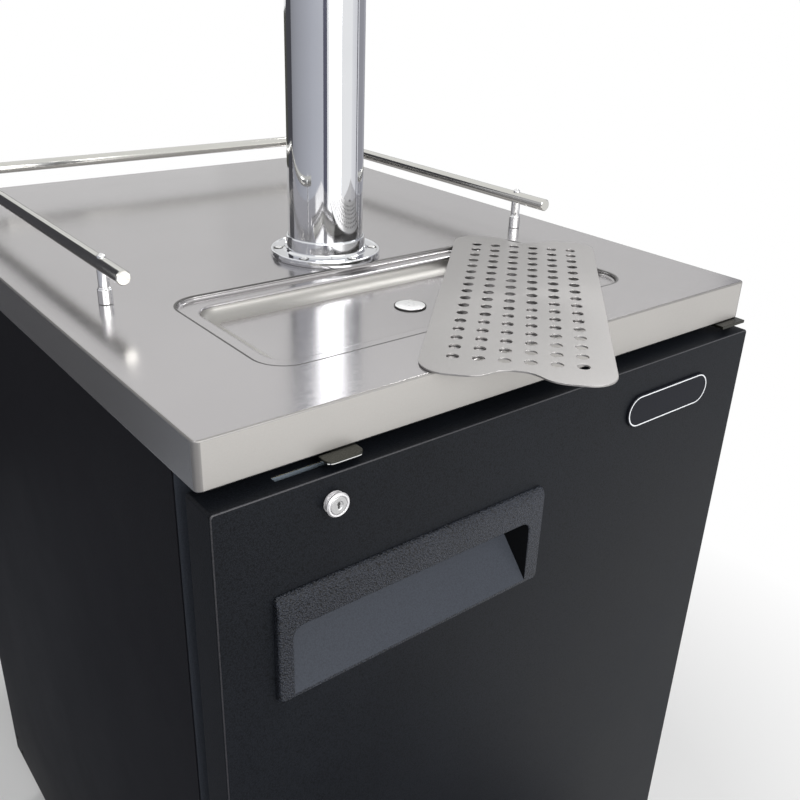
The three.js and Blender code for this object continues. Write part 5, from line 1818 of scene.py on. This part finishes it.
    def lock(self) -> None:
        """Builds the lock's barrel, plug and cam."""
        low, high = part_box("lock_barrel")
        x, _, z = middle_of("lock_barrel")
        face, seat, axis = low.y, FRONT - self.pull_seat, at(x, 0, z, Facing.BACK)
        turned("lock_head", "lock_barrel", LOCK_STEEL, axis, 72, (
            (0.0073, face + 0.0004), (0.0076, face + 0.0004, 0.0001), (0.0077, face, 0.0002),
            (0.0086, face, 0.0003), (0.0097, face + 0.0014, 0.0006),
            (0.0094, face + 0.0024, 0.0008), (0.0066, seat - 0.0022, 0.0015),
            (0.0064, seat - 0.0005, 0.0001), (0.0088, seat - 0.0005, 0.0001), (0.0088, seat),
            (0.008, seat), (0.008, high.y), (0.0073, high.y), (0.0073, seat + 0.0007),
            (0.0054, seat - 0.0003), (0.0054, face + 0.003), (0.0073, face + 0.0014),
        ), body="door")
        low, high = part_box("lock_plug")
        core = softened((
            (0.0, low.y + 0.0006), (0.0032, low.y + 0.0006, 0.0004),
            (0.0036, low.y + 0.0002, 0.0003), (0.0066, low.y + 0.0002, 0.0003),
            (0.007, low.y + 0.0006, 0.0002), (0.007, face + 0.0011), (0.0051, face + 0.0027),
            (0.0051, seat), (0.007, seat + 0.001), (0.007, FRONT + 0.001),
            (0.003, FRONT + 0.001), (0.003, high.y, 0.0003), (0.0, high.y),
        ))
        plug = Draft().turn(core, axis).object("lock_core_plug")
        key = Draft().block(
            (x - 0.0008, low.y - 0.002, z - 0.0028), (x + 0.0008, low.y + 0.005, z + 0.0028)
        )
        post = at(x, low.y - 0.001, z + 0.001, Facing.BACK)
        carve(plug, key, Draft().turn(rod(0.0014, 0.0, 0.004), post, 20))
        settle(plug, (PLUG_STEEL,), "lock_core", ("lock_plug",))
        refine("lock_cam", ZINC, 0.0005, "lock_core")


@dataclass
class Fittings:
    """The strike and the door's hinges on the cabinet."""

    edge: float = 0.0005
    corner: float = 0.006

    def build(self) -> None:
        """Builds the strike tab and the two hinges."""
        low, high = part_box("lock_strike")
        x0, x1, edge = low.x + 0.001, high.x - 0.0035, self.edge
        rings = []
        for shrink, z in (
            (edge, low.z), (0.0002, low.z + 0.0002), (0.0, low.z + edge),
            (0.0, low.z + edge + 0.0007), (0.0, high.z - edge), (0.0002, high.z - 0.0002),
            (edge, high.z),
        ):
            sides = (x0 + shrink, x1 - shrink, low.y + shrink, high.y - shrink)
            radii = (self.corner - shrink, 0.001, 0.001, self.corner - shrink)
            rings.append([(a, b, z) for a, b in oblong(*sides, radii, 6)])
        # Bands 1 and 2, the tab's rounded lower edge, take the bright steel: a painted highlight
        # along the edge.
        strike = Draft().skin(rings, (0, 1, 1, 0, 0, 0)).object("strike_tab")
        cam_low, cam_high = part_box("lock_cam")
        notch = Draft().block(
            (x0 - 0.005, cam_low.y - 0.002, low.z - 0.01),
            (cam_high.x + 0.0005, cam_high.y + 0.002, high.z + 0.001),
        )
        settle(carve(strike, notch), (STRIKE_STEEL, BRIGHT), nodes=("lock_strike",))
        for name in ("top_hinge", "bottom_hinge"):
            refine(name, STRIKE_STEEL, 0.0005)
        low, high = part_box("bottom_hinge")
        place = (low.x + 0.007, high.y - 0.0031, low.z + 0.0085)
        layout = Rows(place, 2, 1, (0.0135, 0.0, 0.0))
        screws("bottom_hinge_screws", Facing.FORWARD, layout, 0.0032)


@dataclass
class Cabinet:
    """The cabinet's panels, frame, liner, base and grilles."""

    slot_height: float = 0.007
    slot_pitch: float = 0.018
    rear_slots: tuple[float, float, int] = (0.22, 0.1915, 11)
    kick_slots: tuple[float, float, int] = (0.24, 0.1215, 4)
    slot_gap: float = 0.03
    hood: float = 0.004
    bead: float = 0.009
    bead_step: float = 0.165
    edge: float = 0.0004

    def build(self) -> None:
        """Builds and dresses the body."""
        for name, finish in (
            ("left_side_panel", BODY_PAINT),
            ("right_side_panel", BODY_PAINT),
            ("front_frame", SMOOTH_PLASTIC),
            ("inner_liner", WHITE),
            ("back_panel", BODY_PAINT),
            ("base_frame", ZINC),
            ("kick_grille", BODY_PAINT),
            ("rear_grille", BODY_PAINT),
            ("power_inlet", SMOOTH_PLASTIC),
        ):
            refine(name, finish, self.edge)
        dress("cabinet_foam", FOAM)
        self.fixings()
        self.louvres()
        self.beads()

    def fixings(self) -> None:
        """Sets the sheet metal screws."""
        for name, facing, side in (("left", Facing.LEFT, 0), ("right", Facing.RIGHT, 1)):
            low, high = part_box(f"{name}_side_panel")
            x = (low.x, high.x)[side]
            span = (0.0, (high.y - low.y - 0.06) / 3, 0.0)
            rise = (0.0, 0.0, (high.z - low.z - 0.05) / 4)
            below = Rows((x, low.y + 0.03, low.z + 0.012), 4, 1, span)
            screws(f"{name}_panel_screws_low", facing, below)
            behind = Rows((x, high.y - 0.012, low.z + 0.03), 1, 5, ZERO, rise)
            screws(f"{name}_panel_screws_back", facing, behind)
        for name, facing, rows in (
            ("back_panel", Facing.BACK, 5),
            ("rear_grille", Facing.BACK, 3),
            ("kick_grille", Facing.FORWARD, 2),
        ):
            low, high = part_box(name)
            place = (low.x + 0.013, high.y if facing is Facing.BACK else low.y, low.z + 0.016)
            across = (high.x - low.x - 0.026, 0.0, 0.0)
            rise = (0.0, 0.0, (high.z - low.z - 0.032) / (rows - 1))
            screws(f"{name}_screws", facing, Rows(place, 2, rows, across, rise))

    def louvres(self) -> None:
        """Hoods the slots of both grilles."""
        for name, out, (slot, first, rows) in (
            ("rear_grille", 1.0, self.rear_slots),
            ("kick_grille", -1.0, self.kick_slots),
        ):
            low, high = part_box(name)
            step = slot + self.slot_gap
            place = (-step / 2, high.y if out > 0 else low.y, first)
            layout = Rows(place, 2, rows, (step, 0.0, 0.0), (0.0, 0.0, self.slot_pitch))
            section = softened((
                (-0.0004 * out, self.slot_height + 0.0022), (self.hood * out, 0.0042, 0.0008),
                (self.hood * out, 0.0032, 0.0003), ((self.hood - 0.0008) * out, 0.0034, 0.0003),
                (-0.0004 * out, self.slot_height + 0.0006),
            ), 2, closed=True)
            half = (slot + 0.003) / 2
            hood = Draft().skin([[(x, y, z) for y, z in section] for x in (-half, half)])
            layout.cook(f"{name}_louvres", BODY_PAINT, hood)

    def beads(self) -> None:
        """Presses stiffening beads in the back panel."""
        low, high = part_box("back_panel")
        height = (high.z - low.z) / 2 - 0.07
        rings = []
        for shrink, rise in ((0.0, 0.0), (0.001, 0.0004), (0.003, 0.0013), (0.0055, 0.0018)):
            half, tall = self.bead - shrink, height - shrink
            rings.append(upright(-half, half, -tall, tall, (half - 1e-5,), 6, rise))
        place = (-self.bead_step, high.y, (low.z + high.z) / 2)
        layout = Rows(place, 3, 1, (self.bead_step, 0.0, 0.0))
        layout.cook("back_panel_beads", BODY_PAINT, Draft().skin(rings))


@dataclass
class ColdUnit:
    """The evaporator inside and the condensing unit behind the rear grille."""

    fin_pitch: float = 0.0031
    fin_gauge: float = 0.0004
    tube: float = 0.0048
    tube_rows: int = 8
    tube_inset: float = 0.0115
    tube_start: float = 0.017
    pipe: float = 0.0035
    wire: float = 0.0011
    guard_rings: tuple[float, ...] = (0.016, 0.031, 0.046, 0.061, 0.0755)
    edge: float = 0.0004

    def build(self) -> None:
        """Builds and dresses both."""
        for name, finish, body in (
            ("evaporator_housing", WHITE, "cabinet"),
            ("evaporator_fan", SMOOTH_PLASTIC, "evaporator_fan"),
            ("thermostat_knob", SMOOTH_PLASTIC, "thermostat_knob"),
            ("compressor", UNIT_PAINT, "cabinet"),
            ("condenser_shroud", UNIT_PAINT, "cabinet"),
            ("condenser_fan", SMOOTH_PLASTIC, "condenser_fan"),
        ):
            refine(name, finish, self.edge, body)
        self.coil()
        self.pipes()
        self.guard()
        self.knob()

    def coil(self) -> None:
        """Builds the condenser's fins, tubes, bends and end plates."""
        low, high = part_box("condenser")
        fin = Draft().block(
            ZERO, (self.fin_gauge, high.y - low.y - 0.004, high.z - low.z - 0.004)
        )
        count = int((high.x - low.x - 0.007) / self.fin_pitch)
        place = (low.x + 0.0034, low.y + 0.002, low.z + 0.002)
        layout = Rows(place, count, 1, (self.fin_pitch, 0.0, 0.0))
        fins = layout.cook("condenser_fins", FIN_METAL, fin)
        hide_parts("condenser")
        plates = Draft()
        outline = oblong(-high.z, -low.z, low.y, high.y, (0.003,), 4)
        for x in (low.x, high.x - 0.002):
            plates.prism(outline, x, x + 0.002, Facing.RIGHT.value)
        settle(plates.object("condenser_end_plates"), (ZINC,))
        pitch = (high.z - low.z - 2 * self.tube_start) / (self.tube_rows - 1)
        y, across = low.y + self.tube_inset, high.y - low.y - 2 * self.tube_inset
        z, step = low.z + self.tube_start, (0.0, across, 0.0)
        ends = [Vector((low.x - 0.003, 0, 0)), Vector((high.x + 0.003, 0, 0))]
        straight = Draft().tube(ends, self.tube, 12)
        rows = Rows((0.0, y, z), 2, self.tube_rows, step, (0.0, 0.0, pitch))
        rows.cook("condenser_tubes", COPPER, straight)
        path = arc(pitch / 2, -90, 180, 8, (0, pitch / 2))
        for name, x, out in (("left", low.x, -1.0), ("right", high.x, 1.0)):
            bend = Draft().tube([Vector((out * (0.003 + a), 0, b)) for a, b in path], self.tube, 10)
            rows = Rows((x, y, z), 2, self.tube_rows // 2, step, (0.0, 0.0, 2 * pitch))
            rows.cook(f"condenser_bends_{name}", COPPER, bend)

    def pipes(self) -> None:
        """Builds the compressor's copper pipes, its bolts and its terminal box."""
        low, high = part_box("compressor")
        x, y, _ = middle_of("compressor")
        lines = Draft()
        for angle, lift in ((150, 0.09), (205, 0.06)):
            out = Vector((math.cos(math.radians(angle)), math.sin(math.radians(angle)), 0))
            start = Vector((x, y, low.z + lift)) + out * 0.058
            path = [start, start + out * 0.014, start + out * 0.02 + Vector((0, 0, 0.006))]
            lines.tube([*path, start + out * 0.021 + Vector((0, 0, 0.055))], self.pipe, 14)
        settle(lines.object("compressor_pipes"), (COPPER,))
        place, across = (low.x + 0.01, low.y + 0.028, low.z + 0.0105), high.x - low.x - 0.02
        bolts = Rows(place, 2, 2, (across, 0.0, 0.0), (0.0, 0.08, 0.0))
        bolts.cook("compressor_bolts", ZINC, screw_head(0.0062, 0.003, Facing.UP.value))
        flat = oblong(-0.022, 0.022, low.z + 0.045, low.z + 0.105, (0.004,), 4)
        rings = [[(x + a, low.y + depth, b) for a, b in flat] for depth in (0.0145, 0.001)]
        rings += [[(x + 0.9 * a, low.y - 0.0005, 0.9 * (b - 0.182) + 0.182) for a, b in flat]]
        settle(Draft().skin(rings).object("compressor_terminal_box"), (SMOOTH_PLASTIC,))

    def guard(self) -> None:
        """Builds the wire guard in front of the evaporator's fan, and the air slots."""
        low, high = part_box("evaporator_housing")
        x, y, z = middle_of("evaporator_fan")[0], low.y - 0.0022, low.z + 0.15
        rings = Draft()
        for radius in self.guard_rings:
            rings.turn(arc(self.wire, 0, 315, 7, (radius, 0)), at(x, y, z, Facing.FORWARD), 48)
        settle(rings.object("fan_guard_rings"), (BRIGHT,))
        spoke = Draft().tube([Vector((-0.031, 0, 0)), Vector((0.0305, 0, 0))], self.wire, 8)
        place = at(x, y + 0.0018, z, Facing.FORWARD)
        around("fan_guard_spokes", BRIGHT, (8, 0.046, 0.2), spoke, place)
        flat = oblong(-0.14, 0.14, -0.003, 0.003, (0.0029,), 4)
        slot = Draft().skin([
            [(0.99 * a, -rise, b * (1 - 300 * inset)) for a, b in flat]
            for inset, rise in ((0.0, 0.0), (0.0006, 0.0012), (0.0018, 0.0019))
        ])
        layout = Rows((0.0, low.y, high.z - 0.036), 1, 3, ZERO, (0.0, 0.0, 0.011))
        layout.cook("evaporator_louvres", WHITE, slot)
        across, rise = (high.x - low.x - 0.024, 0.0, 0.0), (0.0, 0.0, high.z - low.z - 0.028)
        layout = Rows((low.x + 0.012, low.y, low.z + 0.014), 2, 2, across, rise)
        screws("evaporator_screws", Facing.FORWARD, layout, 0.0036)

    def knob(self) -> None:
        """Sets grip ribs round the thermostat's knob."""
        x, _, z = middle_of("thermostat_knob")
        outline = softened((
            (-0.0012, -0.0009), (0.0007, -0.0009, 0.0004), (0.0007, 0.0009, 0.0004),
            (-0.0012, 0.0009),
        ), 2, closed=True)
        rib = Draft().prism(outline, 0.0, 0.009, Facing.UP.value)
        place = at(x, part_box("thermostat_knob")[0].y + 0.0125, z, Facing.FORWARD)
        around("knob_ribs", SMOOTH_PLASTIC, (20, 0.0149, 0.0), rib, place, "thermostat_knob")


class Corner(Enum):
    """The four casters."""

    FRONT_LEFT = "front_left"
    FRONT_RIGHT = "front_right"
    BACK_LEFT = "back_left"
    BACK_RIGHT = "back_right"

    def braked(self) -> bool:
        """Tells whether the caster has a brake, as both front ones do."""
        return self in (Corner.FRONT_LEFT, Corner.FRONT_RIGHT)


@dataclass
class Caster:
    """One swivel caster."""

    corner: Corner
    rim: float = 0.0375
    axle: float = 0.0172
    plate: Flat = (0.072, 0.052)
    plate_z: float = 0.102
    pivot_inset: float = 0.024

    def pivot(self) -> Flat:
        """Gives the swivel axis' place on the floor plan.

        Returns:
            Its x and y.
        """
        low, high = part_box(f"caster_fork_{self.corner.value}")
        y = high.y - self.pivot_inset if self.corner.braked() else low.y + self.pivot_inset
        return (low.x + high.x) / 2, y

    def build(self) -> None:
        """Builds the fork, the wheel, its bolts and, in front, the brake pedal."""
        name, rim = self.corner.value, self.rim
        refine(f"caster_fork_{name}", ZINC, 0.0004, f"caster_{name}")
        low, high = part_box(f"caster_wheel_{name}")
        x, y, z = middle_of(f"caster_wheel_{name}")
        half = (high.x - low.x) / 2
        axis = at(x, y, z, Facing.RIGHT)
        turned(f"caster_tyre_{name}", f"caster_wheel_{name}", TREAD, axis, 72, (
            (0.0054, -half), (0.012, -half, 0.0006), (0.013, -half + 0.003, 0.001),
            (0.026, -half + 0.003, 0.001), (0.028, -half, 0.0006), (0.034, -half, 0.001),
            (rim, -half + 0.004, 0.003), (rim, half - 0.004, 0.003), (0.034, half, 0.001),
            (0.028, half, 0.0006), (0.026, half - 0.003, 0.001), (0.013, half - 0.003, 0.001),
            (0.012, half, 0.0006), (0.0054, half),
        ), body=f"wheel_{name}")
        bolt = softened(((0.0, 0.0), (0.0058, 0.0), (0.0058, 0.0038, 0.0006), (0.0, 0.0042)), 2)
        (a, b), (wide, deep) = self.pivot(), self.plate
        place = (a - wide / 2, b - deep / 2, self.plate_z)
        layout = Rows(place, 2, 2, (wide, 0.0, 0.0), (0.0, deep, 0.0))
        layout.cook(f"caster_bolts_{name}", ZINC, Draft().turn(bolt, Facing.DOWN.value, 6))
        cap = softened(((0.0, 0.0), (0.0068, 0.0), (0.0068, 0.004, 0.0008), (0.0, 0.0045)), 3)
        caps = Draft()
        for facing, side in ((Facing.RIGHT, self.axle), (Facing.LEFT, -self.axle)):
            caps.turn(cap, at(x + side, y, z, facing), 6)
        settle(caps.object(f"caster_axle_{name}"), (ZINC,), f"caster_{name}")
        if self.corner.braked():
            refine(f"brake_pedal_{name}", SMOOTH_PLASTIC, 0.0005, f"brake_{name}")


@dataclass
class Studio:
    """The camera, the lamps, the floor and the surroundings."""

    place: Triple = (-0.512571, -0.797955, 1.265063)
    azimuth: float = 39.037
    elevation: float = 25.468
    roll: float = 2.1176
    focal_pixels: float = 907.73
    frame_pixels: float = 800.0
    sensor: float = 36.0
    ambient: float = 0.45
    floor_reach: float = 9.0

    def camera(self) -> None:
        """Puts the camera where the photograph was taken from."""
        azimuth, elevation = math.radians(self.azimuth), math.radians(self.elevation)
        flat = math.cos(elevation)
        ahead = Vector((math.sin(azimuth) * flat, math.cos(azimuth) * flat, -math.sin(elevation)))
        level = ahead.cross(Vector((0, 0, 1))).normalized()
        upright_way = level.cross(ahead)
        cosine, sine = math.cos(math.radians(self.roll)), math.sin(math.radians(self.roll))
        right = cosine * level + sine * upright_way
        above = -sine * level + cosine * upright_way
        data = bpy.data.cameras.new("camera")
        data.sensor_width = self.sensor
        data.lens = self.sensor * self.focal_pixels / self.frame_pixels
        data.clip_start = 0.01
        shot = linked("camera", data)
        turn = Matrix((right, above, -ahead)).transposed().to_4x4()
        shot.matrix_world = Matrix.Translation(self.place) @ turn
        bpy.context.scene.camera = shot

    def lamp(
        self, name: str, place: Triple, target_z: float, size: Flat, watts: float
    ) -> bpy.types.Object:
        """Adds a soft rectangular lamp that points at the object's axis.

        Args:
            name: The lamp's name.
            place: Where it hangs.
            target_z: The height that it points at.
            size: Its width and height.
            watts: Its power.

        Returns:
            The lamp.
        """
        data = bpy.data.lights.new(name, "AREA")
        data.shape = "RECTANGLE"
        data.size, data.size_y = size
        data.energy = watts
        lamp = linked(name, data)
        lamp.location = place
        ahead = Vector((0.0, 0.0, target_z)) - Vector(place)
        lamp.rotation_euler = ahead.to_track_quat("-Z", "Y").to_euler()
        return lamp

    def sheet(self, name: str, corners: Sequence[Triple]) -> tuple[bpy.types.Object, Graph]:
        """Makes a piece of the surroundings with one face.

        Args:
            name: The name of the piece and of its material.
            corners: The face's four corners.

        Returns:
            The piece, and its material's empty graph.
        """
        mesh = bpy.data.meshes.new(name)
        mesh.from_pydata(corners, [], [(0, 1, 2, 3)])
        material = bpy.data.materials.new(name)
        mesh.materials.append(material)
        sheet = linked(name, mesh)
        return sheet, emptied(material)

    def card(
        self, name: str, corners: Sequence[Triple], colour: Triple, end: Optional[Triple] = None
    ) -> None:
        """Stands a plain card beside the object, which shows only in reflections.

        Args:
            name: The card's name.
            corners: Its four corners.
            colour: How bright it is.
            end: How bright it is at its second corner, where it fades.
        """
        card, graph = self.sheet(name, corners)
        card.visible_camera = card.visible_diffuse = card.visible_shadow = False
        start, stop = Vector(corners[0]), Vector(corners[1])
        along = (stop - start).normalized()
        spot = graph.add("ShaderNodeTexCoord").outputs["Object"]
        inputs = {0: spot, 1: tuple(along)}
        run = graph.add("ShaderNodeVectorMath", inputs, operation="DOT_PRODUCT").outputs["Value"]
        share = graph.ranged(run, 0.0, 1.0, start.dot(along), stop.dot(along))
        tint = graph.blend(share, (*colour, 1.0), (*(end or colour), 1.0))
        glow = graph.out("ShaderNodeEmission", {"Color": tint, "Strength": 1.0})
        graph.add("ShaderNodeOutputMaterial", {0: glow})

    def cards(self) -> None:
        """Stands the cards that shape the reflections in the tower and the counter."""
        low, high, band = (0.0, 1.25), (1.25, 3.4), (1.25, 2.2)
        for name, ((a, b), (c, d)), (foot, top), *colours in (
            ("left_low", ((-2.1, -3.1), (-2.6, -1.0)), low, (0.58, 0.59, 0.64), (0.5, 0.51, 0.56)),
            ("left_mid", ((-2.6, -1.0), (-1.9, 2.9)), low, (0.5, 0.51, 0.56), (0.26, 0.265, 0.29)),
            ("left_high", ((-2.6, -1.3), (-1.9, 2.9)), high, (0.62, 0.62, 0.66)),
            ("left_front", ((-1.95, -2.72), (-2.8, -1.5)), (1.7, 3.0), (3.2, 3.2, 3.2)),
            ("right", ((2.6, -2.2), (2.6, 0.6)), (0.0, 2.6), (0.9, 0.9, 0.92), (0.6, 0.6, 0.64)),
            ("right_line", ((1.9, -0.6), (1.9, -0.72)), (0.0, 2.2), (0.05, 0.05, 0.07)),
            ("right_edge", ((2.0, -0.42), (2.1, 0.75)), (0.0, 2.6), (0.34, 0.34, 0.37)),
            ("right_back", ((2.6, 0.6), (1.6, 2.2)), low, (0.40, 0.40, 0.44)),
            ("back_right", ((3.2, 0.4), (1.4, 2.9)), band, (0.76, 0.76, 0.76)),
            ("back", ((1.4, 2.9), (-0.6, 3.3)), band, (0.84, 0.84, 0.84)),
            ("back_low", ((2.3, 1.5), (-0.5, 3.0)), (0.0, 1.12), (0.08, 0.08, 0.07)),
            ("back_left", ((-0.95, 1.25), (-0.2, 1.62)), (0.0, 1.9), (0.07, 0.07, 0.08)),
            ("behind_camera", ((-0.67, -0.87), (-0.51, -1.0)), (0.0, 1.35), (0.12, 0.12, 0.16)),
        ):
            self.card(name, ((a, b, foot), (c, d, foot), (c, d, top), (a, b, top)), *colours)
        # Dark cards lying on the floor, seen only in reflections: painted shadow on the floor left
        # of the cabinet and in front of it, where the camera stands.
        for name, (a, b), (c, d), colour in (
            ("floor_left", (-2.6, -0.36), (-0.6, 2.6), (0.2, 0.21, 0.24)),
            ("floor_front", (-1.3, 0.4), (-1.3, -0.4), (0.12, 0.12, 0.14)),
        ):
            z = 0.004
            self.card(name, ((a, c, z), (b, c, z), (b, d, z), (a, d, z)), colour)

    def world(self) -> None:
        """Makes surroundings that are white to the camera and to metal, and softer as light."""
        world = bpy.data.worlds.new("studio")
        bpy.context.scene.world = world
        graph = emptied(world)
        strength = graph.ranged(graph.watched(), self.ambient, 1.0)
        glow = graph.out("ShaderNodeBackground", {"Color": WHITE_LIGHT, "Strength": strength})
        graph.add("ShaderNodeOutputWorld", {0: glow})

    def floor(self) -> None:
        """Makes a pale floor that fades to plain white far from the object."""
        r = self.floor_reach
        _, graph = self.sheet("floor", [(-r, -r, 0), (r, -r, 0), (r, r, 0), (-r, r, 0)])
        matt = graph.out("ShaderNodeBsdfDiffuse", {"Color": (0.82, 0.82, 0.82, 1.0)})
        glow = graph.out("ShaderNodeEmission", {"Color": WHITE_LIGHT, "Strength": 1.0})
        place = graph.add("ShaderNodeTexCoord").outputs["Object"]
        away = graph.add("ShaderNodeVectorMath", {0: place}, operation="LENGTH").outputs["Value"]
        share = graph.maths("MULTIPLY", graph.ranged(away, 0.0, 1.0, 0.7, 1.3), graph.watched())
        mix = graph.out("ShaderNodeMixShader", {0: share, 1: matt, 2: glow})
        graph.add("ShaderNodeOutputMaterial", {0: mix})

    def build(self) -> None:
        """Sets up the whole studio."""
        self.camera()
        self.world()
        self.floor()
        self.cards()
        self.lamp("key", (1.7, 0.75, 2.9), 0.95, (0.5, 0.5), 14.0)
        self.lamp("front_high", (-0.35, -2.7, 2.35), 0.9, (3.2, 1.3), 52.0)
        self.lamp("front_low", (-0.2, -3.0, 1.0), 0.9, (1.9, 1.5), 20.0)
        fill = self.lamp("right_fill", (2.1, -1.9, 2.1), 0.8, (1.0, 1.0), 20.0)
        fill.visible_glossy = False
        bpy.context.scene.view_settings.view_transform = "Standard"


def main() -> None:
    """Builds the studio and every sub-assembly, in order."""
    logging.basicConfig(level=logging.INFO, format="%(name)s %(message)s")
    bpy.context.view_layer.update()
    parts = [
        Studio(),
        Counter(),
        DripGrid(),
        GuardRail(),
        Tower(),
        Faucet(),
        Door(),
        Fittings(),
        Cabinet(),
        ColdUnit(),
        *[Caster(corner) for corner in Corner],
    ]
    for part in parts:
        LOG.info("building %s", type(part).__name__)
        part.build()


if __name__ == "__main__":
    main()
